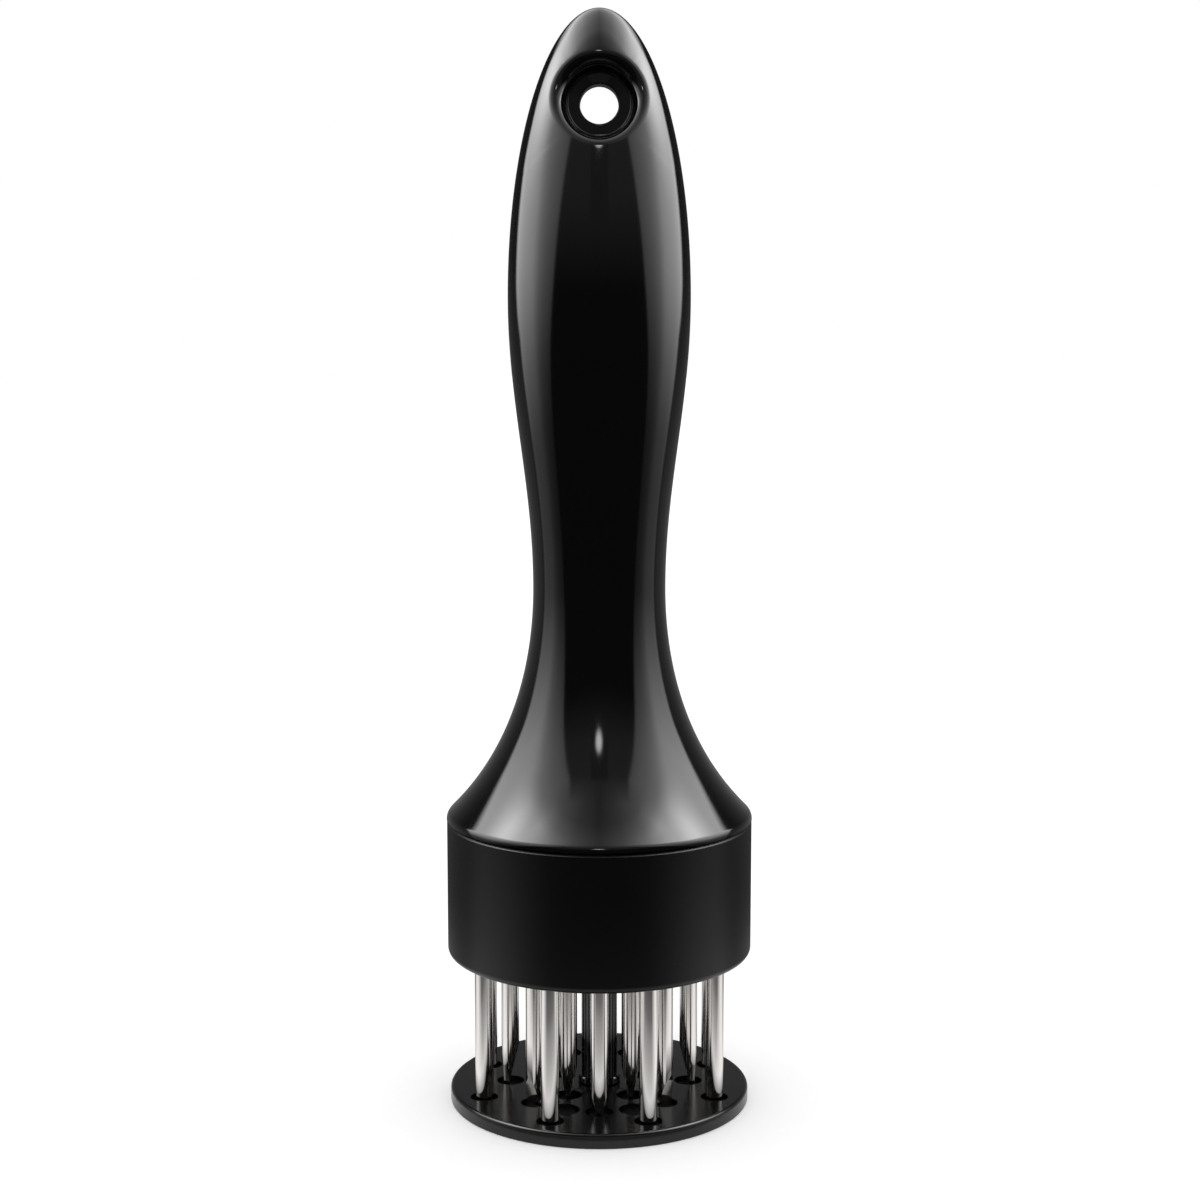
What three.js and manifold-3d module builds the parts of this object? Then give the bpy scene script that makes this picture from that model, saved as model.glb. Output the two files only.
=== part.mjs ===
// Hand-held needle meat tenderizer, standing on its press plate.
// A gloss handle and a matt collar carry a bundle of steel needles. A round press
// plate hangs under them on a guide post. Pushing the handle down slides the plate
// up to the collar, the needles come out through its holes, and a spring in the
// handle brings the plate back.
// Millimetres, +Z up. The origin is the middle of the press plate's underside, and
// the hanging hole runs along Y.

import * as THREE from 'three';
import { mergeVertices } from 'three/addons/utils/BufferGeometryUtils.js';
import Module from 'manifold-3d';

const wasm = await Module();
wasm.setup();

// Clearances
const fitGap = 0.3;          // between two pieces that sit against each other
const cutOverrun = 1;        // how far a cutting tool runs past the face it opens

// Press plate and its travel
const plateInset = 0.3;      // plate's edge inside the collar's outline
const plateThickness = 2.7;
const plateEdgeRound = 0.4;
const pressTravel = 24.5;    // how far the plate slides up towards the collar
const travelClearance = 0.4; // left between plate and collar at full travel

// Collar
const collarRadius = 27.5;
const collarWall = 1.8;
const collarHeight = 24.5;
const collarLowerRound = 1.2;
const collarTopChamfer = 0.2;
const webThickness = 4;      // cross wall that the needles push against

// Needle holder and backing plate, both inside the collar
const holderRecess = 1.2;    // holder's underside above the collar's lower edge
const holderThickness = 8;
const backingThickness = 1.6;

// Needles
const needleRadius = 1.6;
const needleHeadRadius = 2;
const needleHeadHeight = 1.5;
const needleBevelLength = 5;
const needleTipThickness = 0.6;
const needleTipDepth = 0.2;  // tips below the plate's upper face, at rest
const needlePassGap = 0.9;   // round each needle in its hole in the plate

// Rings of needles: angles run from the front, edge turns are from the X axis
const outerRingInset = 3;    // outer ring inside the holder's rim
const innerRingOutset = 4.6; // inner ring outside the bush's hole
const middleRingShare = 0.527; // middle ring's place between the other two
const needleRings = [
  { name: 'outer', outwardShare: 1, count: 8, firstAngle: 22.5, edgeTurns: [0] },
  { name: 'middle', outwardShare: middleRingShare, count: 8, firstAngle: 0, edgeTurns: [90, 45, 90, -45] },
  { name: 'inner', outwardShare: 0, count: 5, firstAngle: 36, edgeTurns: [90] },
];

// Handle
const handleHeight = 142.5;
const lipOverhang = 0.05;    // lip outside the collar's outline
const lipRound = 0.8;
const flareAngle = 46;       // slope of the flare at the lip, from the vertical
const flareLipReach = 16.9;  // how stiffly the flare leaves the lip
const flareNeckReach = 13.4; // how stiffly it runs into the neck
const neckRadius = 11.8;
const neckHeight = 42;       // above the handle's lower edge
const palmRadius = 16.05;
const palmHeight = 92.6;     // widest place, above the handle's lower edge
const gripReachShare = 0.364;
const gripDepthShare = 0.86; // depth of the grip as a share of its width
const roundBelowHeight = 22; // section is a full circle below this
const ovalAboveHeight = 84;  // and the full oval above this

// Hanging hole: a dished recess on both faces and a smaller hole through the web
const hangingHoleDrop = 16.5; // hole's centre below the handle's top
const hangingHoleRadius = 3.45;
const recessFloorRadius = 5.6;
const recessWebThickness = 6.6;
const recessMouthRadius = 6.5;
const recessMouthDepth = 9;  // mouth's distance from the handle's mid-plane

// Guide post, its bush and its stop
const postRadius = 3.25;
const postFootRadius = 3.85;
const postFootHeight = 1.1;
const bushWall = 1.05;
const bushFlangeRadius = 6;
const bushFlangeThickness = 1.5;
const washerRadius = 6;
const washerThickness = 1.5;

// Return spring in the handle's bore
const springWireRadius = 0.6;
const springMeanRadius = 4.9;
const springTurns = 10;
const springRestLength = 43.4;
const springBoreRadius = 6.6;

// Screws
const screwShankRadius = 1.4;
const screwHeadRadius = 2.6;
const screwHeadHeight = 2.2;
const screwRecessWidth = 0.8;
const screwRecessLength = 3;
const screwRecessDepth = 1.2;
const baseScrewLength = 26;
const baseScrewAngles = [22.5, 157.5, 202.5, 337.5];
const baseScrewSink = 0.5;   // head's face above the holder's underside
const screwPassGap = 0.2;    // round a base screw's head in its access hole
const postScrewLength = 10;  // in the post, at either end
const countersinkRadius = 3.4;
const countersinkSink = 0.3; // flat head's face above the plate's underside

// Facets
const bodyFacets = 56;
const handleFacets = 40;
const smallFacets = 20;
const holeFacets = 12;
const springStepsPerTurn = 8;
const springSides = 5;

// Heights that follow from the sizes above
const collarBottomZ = plateThickness + pressTravel + travelClearance;
const collarTopZ = collarBottomZ + collarHeight;
const handleBottomZ = collarTopZ + fitGap;
const handleTopZ = handleBottomZ + handleHeight;
const holderBottomZ = collarBottomZ + holderRecess;
const holderTopZ = holderBottomZ + holderThickness;
const backingBottomZ = holderTopZ + fitGap;
const backingTopZ = backingBottomZ + backingThickness;
const webBottomZ = backingTopZ + fitGap;
const webTopZ = webBottomZ + webThickness;
const spigotBottomZ = webTopZ + fitGap;
const flangeBottomZ = webTopZ + fitGap;
const flangeTopZ = flangeBottomZ + bushFlangeThickness;
const washerBottomZ = flangeTopZ + fitGap;
const washerTopZ = washerBottomZ + washerThickness;
const springBottomZ = washerTopZ + fitGap;
const springTopZ = springBottomZ + springRestLength;
const boreTopZ = springTopZ + fitGap;
const postBottomZ = plateThickness + fitGap;
const postTopZ = flangeTopZ;
const hangingHoleZ = handleTopZ - hangingHoleDrop;

// Radii that follow
const plateRadius = collarRadius - plateInset;
const lipRadius = collarRadius + lipOverhang;
const collarInnerRadius = collarRadius - collarWall;
const innerPieceRadius = collarInnerRadius - fitGap;
const bushInnerRadius = postRadius + fitGap;
const bushOuterRadius = bushInnerRadius + bushWall;
const bushHoleRadius = bushOuterRadius + fitGap;
const screwHoleRadius = screwShankRadius + fitGap;
const screwHeadHoleRadius = screwHeadRadius + fitGap;
const accessHoleRadius = screwHeadRadius + screwPassGap;
const plateHoleRadius = needleRadius + needlePassGap;
const outerRingRadius = innerPieceRadius - outerRingInset;
const innerRingRadius = bushHoleRadius + innerRingOutset;
const ringRadius = (outwardShare) => THREE.MathUtils.lerp(innerRingRadius, outerRingRadius, outwardShare);

const up = (radius, z) => new THREE.Vector2(radius, z);

// A solid of revolution about Z. The profile runs up the outside.
function turned(points, facets) {
  return new THREE.LatheGeometry(points, facets).rotateX(Math.PI / 2);
}

// A plain round bar along Z, used as a piece or as a cutting tool.
function bar(radius, bottomZ, topZ, facets) {
  return turned([up(0, bottomZ), up(radius, bottomZ), up(radius, topZ), up(0, topZ)], facets);
}

// A place on a circle, with the angle in degrees from the front towards +X.
function onCircle(radius, angle) {
  const turn = THREE.MathUtils.degToRad(angle);
  return new THREE.Vector2(radius * Math.sin(turn), -radius * Math.cos(turn));
}

// Three.js geometry to a solid that can be joined and cut.
function solid(geometry) {
  const bare = geometry.clone();
  bare.deleteAttribute('normal');
  bare.deleteAttribute('uv');
  const merged = mergeVertices(bare);
  const triVerts = new Uint32Array(merged.index.array);
  const vertProperties = new Float32Array(merged.attributes.position.array);
  return new wasm.Manifold(new wasm.Mesh({ numProp: 3, vertProperties, triVerts }));
}

// A solid back to three.js geometry.
function geometryOf(manifold) {
  const mesh = manifold.getMesh();
  const geometry = new THREE.BufferGeometry();
  const positions = new THREE.BufferAttribute(new Float32Array(mesh.vertProperties), mesh.numProp);
  geometry.setAttribute('position', positions);
  geometry.setIndex(new THREE.BufferAttribute(new Uint32Array(mesh.triVerts), 1));
  geometry.computeVertexNormals();
  return geometry;
}

function cut(body, tools) {
  return geometryOf(tools.reduce((rest, tool) => rest.subtract(solid(tool)), solid(body)));
}

// Round holes of one size at several places.
function holes(places, radius, bottomZ, topZ, facets) {
  return places.map((place) => bar(radius, bottomZ, topZ, facets).translate(place.x, place.y, 0));
}

function named(name, geometry, color, roughness, metalness) {
  const mesh = new THREE.Mesh(geometry, new THREE.MeshStandardMaterial({ color, roughness, metalness }));
  mesh.name = name;
  return mesh;
}

const needlePlaces = needleRings.flatMap((ring) =>
  Array.from({ length: ring.count }, (_, index) => ({
    name: `needle_${ring.name}_${index + 1}`,
    place: onCircle(ringRadius(ring.outwardShare), ring.firstAngle + (360 / ring.count) * index),
    edgeTurn: ring.edgeTurns[index % ring.edgeTurns.length],
  })));
const needleCentres = needlePlaces.map((needle) => needle.place);
const baseScrewPlaces = baseScrewAngles.map((angle) => onCircle(ringRadius(middleRingShare), angle));

// Handle: one moulding with a flared foot, a waist, a palm swell and a rounded end.
function handleOutline() {
  const slope = THREE.MathUtils.degToRad(flareAngle);
  const lipStart = up(lipRadius, handleBottomZ);
  const lip = new THREE.EllipseCurve(lipRadius - lipRound, handleBottomZ, lipRound, lipRound, 0, slope);
  const lipEnd = lip.getPoint(1);
  const neck = up(neckRadius, handleBottomZ + neckHeight);
  const palm = up(palmRadius, handleBottomZ + palmHeight);
  const gripReach = gripReachShare * (palmHeight - neckHeight);
  const flare = new THREE.CubicBezierCurve(
    lipEnd,
    up(lipEnd.x - flareLipReach * Math.sin(slope), lipEnd.y + flareLipReach * Math.cos(slope)),
    up(neck.x, neck.y - flareNeckReach),
    neck);
  const grip = new THREE.CubicBezierCurve(
    neck, up(neck.x, neck.y + gripReach), up(palm.x, palm.y - gripReach), palm);
  const end = new THREE.EllipseCurve(0, palm.y, palm.x, handleTopZ - palm.y, 0, Math.PI / 2);
  const top = up(0, handleTopZ);
  return [
    up(0, spigotBottomZ), up(innerPieceRadius, spigotBottomZ), up(innerPieceRadius, handleBottomZ),
    lipStart, ...lip.getPoints(3).slice(1), ...flare.getPoints(11).slice(1),
    ...grip.getPoints(8).slice(1), ...end.getPoints(12).slice(1, -1), top,
  ];
}

// The turned blank is drawn in from front to back, more and more up the grip.
function flattenGrip(blank) {
  const position = blank.attributes.position;
  for (let index = 0; index < position.count; index += 1) {
    const height = position.getZ(index) - handleBottomZ;
    const share = THREE.MathUtils.smoothstep(height, roundBelowHeight, ovalAboveHeight);
    position.setY(index, position.getY(index) * THREE.MathUtils.lerp(1, gripDepthShare, share));
  }
  return blank;
}

function hangingHoleTools() {
  const floorY = recessWebThickness / 2;
  const flare = (recessMouthRadius - recessFloorRadius) / (recessMouthDepth - floorY);
  const outerRadius = recessFloorRadius + flare * (palmRadius - floorY);
  const recess = new THREE.LatheGeometry([
    up(0, floorY), up(recessFloorRadius, floorY), up(outerRadius, palmRadius), up(0, palmRadius),
  ], smallFacets);
  const front = recess.clone().rotateX(Math.PI).translate(0, 0, hangingHoleZ);
  const back = recess.clone().translate(0, 0, hangingHoleZ);
  const through = new THREE.CylinderGeometry(
    hangingHoleRadius, hangingHoleRadius, 2 * (floorY + cutOverrun), smallFacets);
  return [front, back, through.translate(0, 0, hangingHoleZ)];
}

function handle() {
  const blank = flattenGrip(turned(handleOutline(), handleFacets));
  const bore = bar(springBoreRadius, spigotBottomZ - cutOverrun, boreTopZ, smallFacets);
  const screwTopZ = holderBottomZ + baseScrewSink + screwHeadHeight + baseScrewLength + fitGap;
  const screwHoles = holes(
    baseScrewPlaces, screwHoleRadius, spigotBottomZ - cutOverrun, screwTopZ, holeFacets);
  return named('handle', cut(blank, [...hangingHoleTools(), bore, ...screwHoles]), 0x0b0b0c, 0.14, 0);
}

// Collar: a sleeve with a cross wall. The handle's spigot enters from above.
function collar() {
  const round = new THREE.EllipseCurve(
    collarRadius - collarLowerRound, collarBottomZ + collarLowerRound,
    collarLowerRound, collarLowerRound, -Math.PI / 2, 0);
  const profile = [
    up(collarInnerRadius, collarBottomZ), ...round.getPoints(4),
    up(collarRadius, collarTopZ - collarTopChamfer), up(collarRadius - collarTopChamfer, collarTopZ),
    up(collarInnerRadius, collarTopZ), up(collarInnerRadius, webTopZ), up(bushHoleRadius, webTopZ),
    up(bushHoleRadius, webBottomZ), up(collarInnerRadius, webBottomZ), up(collarInnerRadius, collarBottomZ),
  ];
  const screwHoles = holes(
    baseScrewPlaces, screwHoleRadius, webBottomZ - cutOverrun, webTopZ + cutOverrun, holeFacets);
  return named('collar', cut(turned(profile, bodyFacets), screwHoles), 0x131313, 0.6, 0);
}

// Needle holder: the needles hang in it by their heads.
function needleHolder() {
  const bottom = holderBottomZ - cutOverrun;
  const top = holderTopZ + cutOverrun;
  const needleSeatZ = holderTopZ - needleHeadHeight - fitGap;
  const screwSeatZ = holderBottomZ + baseScrewSink + screwHeadHeight + fitGap;
  const blank = bar(innerPieceRadius, holderBottomZ, holderTopZ, bodyFacets);
  return named('needle_holder', cut(blank, [
    bar(bushHoleRadius, bottom, top, smallFacets),
    ...holes(needleCentres, needleRadius + fitGap, bottom, top, holeFacets),
    ...holes(needleCentres, needleHeadRadius + fitGap, needleSeatZ, top, holeFacets),
    ...holes(baseScrewPlaces, screwHoleRadius, bottom, top, holeFacets),
    ...holes(baseScrewPlaces, screwHeadHoleRadius, bottom, screwSeatZ, holeFacets),
  ]), 0x161616, 0.55, 0);
}

// Backing plate: steel, between the needle heads and the collar's cross wall.
function backingPlate() {
  const bottom = backingBottomZ - cutOverrun;
  const top = backingTopZ + cutOverrun;
  const blank = bar(innerPieceRadius, backingBottomZ, backingTopZ, bodyFacets);
  return named('backing_plate', cut(blank, [
    bar(bushHoleRadius, bottom, top, smallFacets),
    ...holes(baseScrewPlaces, screwHoleRadius, bottom, top, holeFacets),
  ]), 0x8c8f92, 0.35, 1);
}

// Needle: a headed wire ground to a chisel edge by two flats.
function needleGeometry() {
  const tipZ = plateThickness - needleTipDepth;
  const headTopZ = holderTopZ;
  const headBottomZ = headTopZ - needleHeadHeight;
  const blank = turned([
    up(0, tipZ), up(needleRadius, tipZ), up(needleRadius, headBottomZ),
    up(needleHeadRadius, headBottomZ), up(needleHeadRadius, headTopZ), up(0, headTopZ),
  ], smallFacets);
  const bevelTopZ = tipZ + needleBevelLength;
  const wide = needleHeadRadius + cutOverrun;
  const keepTopZ = headTopZ + cutOverrun;
  const keep = new THREE.Shape([
    up(-needleTipThickness / 2, tipZ), up(needleTipThickness / 2, tipZ), up(needleRadius, bevelTopZ),
    up(wide, bevelTopZ), up(wide, keepTopZ), up(-wide, keepTopZ), up(-wide, bevelTopZ),
    up(-needleRadius, bevelTopZ),
  ]);
  const flats = new THREE.ExtrudeGeometry(keep, { depth: 2 * wide, bevelEnabled: false });
  flats.translate(0, 0, -wide).rotateX(Math.PI / 2).rotateZ(Math.PI / 2);
  return geometryOf(solid(blank).intersect(solid(flats)));
}

function needles() {
  const geometry = needleGeometry();
  return needlePlaces.map(({ name, place, edgeTurn }) => {
    const needle = named(name, geometry.clone(), 0xd2d0cc, 0.07, 1);
    needle.position.set(place.x, place.y, 0);
    needle.rotation.z = THREE.MathUtils.degToRad(edgeTurn);
    return needle;
  });
}

// Guide bush: flanged, through the cross wall and the holder.
function guideBush() {
  return named('guide_bush', turned([
    up(bushInnerRadius, holderBottomZ), up(bushOuterRadius, holderBottomZ),
    up(bushOuterRadius, flangeBottomZ), up(bushFlangeRadius, flangeBottomZ),
    up(bushFlangeRadius, flangeTopZ), up(bushInnerRadius, flangeTopZ),
    up(bushInnerRadius, holderBottomZ),
  ], smallFacets), 0xd8d5cc, 0.45, 0);
}

// Cross recess for a screwdriver, as two crossed bars.
function crossRecess(bottomZ, topZ) {
  const middleZ = (bottomZ + topZ) / 2;
  return [[screwRecessLength, screwRecessWidth], [screwRecessWidth, screwRecessLength]].map(
    ([width, depth]) => new THREE.BoxGeometry(width, depth, topZ - bottomZ).translate(0, 0, middleZ));
}

// Base screws: up through holder, backing plate and cross wall into the handle.
function baseScrews() {
  const headBottomZ = holderBottomZ + baseScrewSink;
  const headTopZ = headBottomZ + screwHeadHeight;
  const tipZ = headTopZ + baseScrewLength;
  const blank = turned([
    up(0, headBottomZ), up(screwHeadRadius, headBottomZ), up(screwHeadRadius, headTopZ),
    up(screwShankRadius, headTopZ), up(screwShankRadius, tipZ), up(0, tipZ),
  ], holeFacets);
  const geometry = cut(blank, crossRecess(headBottomZ - cutOverrun, headBottomZ + screwRecessDepth));
  return baseScrewPlaces.map((place, index) => {
    const screw = named(`base_screw_${index + 1}`, geometry.clone(), 0xa8aaad, 0.3, 1);
    screw.position.set(place.x, place.y, 0);
    return screw;
  });
}

// Return spring: a helix from the stop washer to the end of the bore.
class SpringPath extends THREE.Curve {
  getPoint(share, target = new THREE.Vector3()) {
    const turn = 2 * Math.PI * springTurns * share;
    const rise = springRestLength - 2 * springWireRadius;
    return target.set(
      springMeanRadius * Math.cos(turn), springMeanRadius * Math.sin(turn),
      springBottomZ + springWireRadius + rise * share);
  }
}

function returnSpring() {
  const corners = Array.from({ length: springSides }, (_, index) => {
    const turn = (2 * Math.PI * index) / springSides;
    return up(springWireRadius * Math.cos(turn), springWireRadius * Math.sin(turn));
  });
  const geometry = new THREE.ExtrudeGeometry(new THREE.Shape(corners), {
    steps: springTurns * springStepsPerTurn, extrudePath: new SpringPath(), bevelEnabled: false,
  });
  return named('return_spring', geometry, 0xb4b6b8, 0.3, 1);
}

// Press plate: holes for the needles, for a screwdriver and for its own screw.
function pressPlate() {
  const lower = new THREE.EllipseCurve(
    plateRadius - plateEdgeRound, plateEdgeRound, plateEdgeRound, plateEdgeRound, -Math.PI / 2, 0);
  const upper = new THREE.EllipseCurve(
    plateRadius - plateEdgeRound, plateThickness - plateEdgeRound,
    plateEdgeRound, plateEdgeRound, 0, Math.PI / 2);
  const blank = turned(
    [up(0, 0), ...lower.getPoints(2), ...upper.getPoints(2), up(0, plateThickness)], bodyFacets);
  const bottom = -cutOverrun;
  const top = plateThickness + cutOverrun;
  const countersink = turned([
    up(0, bottom), up(countersinkRadius + cutOverrun, bottom),
    up(screwHoleRadius, countersinkRadius - screwHoleRadius), up(screwHoleRadius, top), up(0, top),
  ], smallFacets);
  return named('press_plate', cut(blank, [
    countersink,
    ...holes(needleCentres, plateHoleRadius, bottom, top, holeFacets),
    ...holes(baseScrewPlaces, accessHoleRadius, bottom, top, holeFacets),
  ]), 0x101011, 0.2, 0);
}

// Guide post: stands on the press plate and slides in the bush.
function guidePost() {
  const lowerHoleZ = postBottomZ + postScrewLength + fitGap;
  const upperHoleZ = postTopZ - postScrewLength - fitGap;
  return named('guide_post', turned([
    up(0, lowerHoleZ), up(screwHoleRadius, lowerHoleZ), up(screwHoleRadius, postBottomZ),
    up(postFootRadius, postBottomZ), up(postFootRadius, postBottomZ + postFootHeight),
    up(postRadius, postBottomZ + postFootHeight), up(postRadius, postTopZ),
    up(screwHoleRadius, postTopZ), up(screwHoleRadius, upperHoleZ), up(0, upperHoleZ),
  ], smallFacets), 0x0c0c0c, 0.2, 0);
}

// Plate screw: flat head in the plate's countersink, shank in the post.
function plateScrew() {
  const headRadius = countersinkRadius - countersinkSink - fitGap * Math.SQRT2;
  const headTopZ = countersinkSink + headRadius - screwShankRadius;
  const tipZ = postBottomZ + postScrewLength;
  const blank = turned([
    up(0, countersinkSink), up(headRadius, countersinkSink), up(screwShankRadius, headTopZ),
    up(screwShankRadius, tipZ), up(0, tipZ),
  ], smallFacets);
  const recess = crossRecess(countersinkSink - cutOverrun, countersinkSink + screwRecessDepth);
  return named('plate_screw', cut(blank, recess), 0xa8aaad, 0.3, 1);
}

// Stop washer: lands on the bush's flange and carries the spring.
function stopWasher() {
  return named('stop_washer', turned([
    up(screwHoleRadius, washerBottomZ), up(washerRadius, washerBottomZ),
    up(washerRadius, washerTopZ), up(screwHoleRadius, washerTopZ),
    up(screwHoleRadius, washerBottomZ),
  ], smallFacets), 0xb4b6b8, 0.3, 1);
}

// Post screw: clamps the stop washer to the post's upper end.
function postScrew() {
  const headBottomZ = washerTopZ + fitGap;
  const headTopZ = headBottomZ + screwHeadHeight;
  const tipZ = postTopZ - postScrewLength;
  const blank = turned([
    up(0, tipZ), up(screwShankRadius, tipZ), up(screwShankRadius, headBottomZ),
    up(screwHeadRadius, headBottomZ), up(screwHeadRadius, headTopZ), up(0, headTopZ),
  ], smallFacets);
  const recess = crossRecess(headTopZ - screwRecessDepth, headTopZ + cutOverrun);
  return named('post_screw', cut(blank, recess), 0xa8aaad, 0.3, 1);
}

const handleUnit = new THREE.Group();
handleUnit.add(handle(), collar(), needleHolder(), backingPlate(), guideBush());
handleUnit.add(...needles(), ...baseScrews(), returnSpring());

const pressUnit = new THREE.Group();
pressUnit.add(pressPlate(), guidePost(), plateScrew(), stopWasher(), postScrew());

const tenderizer = new THREE.Group();
tenderizer.add(handleUnit, pressUnit);

export default tenderizer;
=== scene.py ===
"""Hand-held needle meat tenderizer on its press plate, dressed for a studio picture.

Sizes and places are in metres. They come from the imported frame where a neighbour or
the box gives them, and from the fields of each sub-assembly's class otherwise.
"""

import logging
import math
from abc import ABC, abstractmethod
from collections.abc import Callable, Iterable, Sequence
from dataclasses import dataclass, field
from enum import Enum, IntEnum
from functools import cache

import bmesh
import bpy
from mathutils import Matrix, Vector


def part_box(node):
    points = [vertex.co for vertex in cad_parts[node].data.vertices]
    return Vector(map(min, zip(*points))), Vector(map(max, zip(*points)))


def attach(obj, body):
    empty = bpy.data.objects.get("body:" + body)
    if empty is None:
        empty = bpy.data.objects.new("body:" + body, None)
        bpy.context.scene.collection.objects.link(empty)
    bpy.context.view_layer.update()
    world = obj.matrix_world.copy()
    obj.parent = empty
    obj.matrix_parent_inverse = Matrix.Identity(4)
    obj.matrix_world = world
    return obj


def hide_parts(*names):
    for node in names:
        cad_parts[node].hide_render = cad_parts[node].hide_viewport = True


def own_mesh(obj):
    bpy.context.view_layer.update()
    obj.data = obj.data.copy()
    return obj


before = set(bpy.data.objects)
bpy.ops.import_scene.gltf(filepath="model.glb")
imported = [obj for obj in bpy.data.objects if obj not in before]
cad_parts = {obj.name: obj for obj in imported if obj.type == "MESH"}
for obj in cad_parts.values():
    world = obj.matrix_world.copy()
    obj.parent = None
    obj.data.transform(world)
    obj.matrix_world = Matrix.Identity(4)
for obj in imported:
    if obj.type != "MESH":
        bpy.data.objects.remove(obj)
LOG = logging.getLogger("tenderizer")

MM = 0.001
FIT_GAP = 0.3 * MM  # between pieces that fit into each other
OVERRUN = 1.0 * MM  # how far a drill reaches past what it cuts
SHARP_ANGLE = math.radians(33)  # edges from here on are shaded sharp
SQUARE_ANGLE = math.radians(60)  # edges from here on are eased
MERGE_TURNED = 0.0005 * MM
MERGE_CUT = 0.001 * MM
MERGE_GROUND = 0.0001 * MM
PATCH_DETAIL, GRAIN_DETAIL = 2.0, 3.0
NOISE_LOW, NOISE_HIGH = 0.3, 0.7  # where most of a noise value lies
AXIS_UP = Vector((0.0, 0.0, 1.0))

Socket = bpy.types.NodeSocket
Color = tuple[float, float, float]
Point = tuple[float, float]
Stops = tuple[tuple[float, float], ...]


class Body(Enum):
    """The rigid bodies that pieces ride on."""

    HANDLE = "handle_unit"
    PRESS = "press_unit"


class Slot(Enum):
    """The record's material slots."""

    GLOSS_BLACK = "gloss_black"
    MATT_BLACK = "matt_black"
    POLISHED_STEEL = "polished_steel"
    PLAIN_STEEL = "plain_steel"
    NATURAL_PLASTIC = "natural_plastic"


class Ring(Enum):
    """The three rings of needles, by the word in their names."""

    OUTER = "outer"
    MIDDLE = "middle"
    INNER = "inner"


class Side(IntEnum):
    """The two sides of the handle that the recess is sunk into, by the sign of Y."""

    FRONT = -1
    BACK = 1


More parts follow.
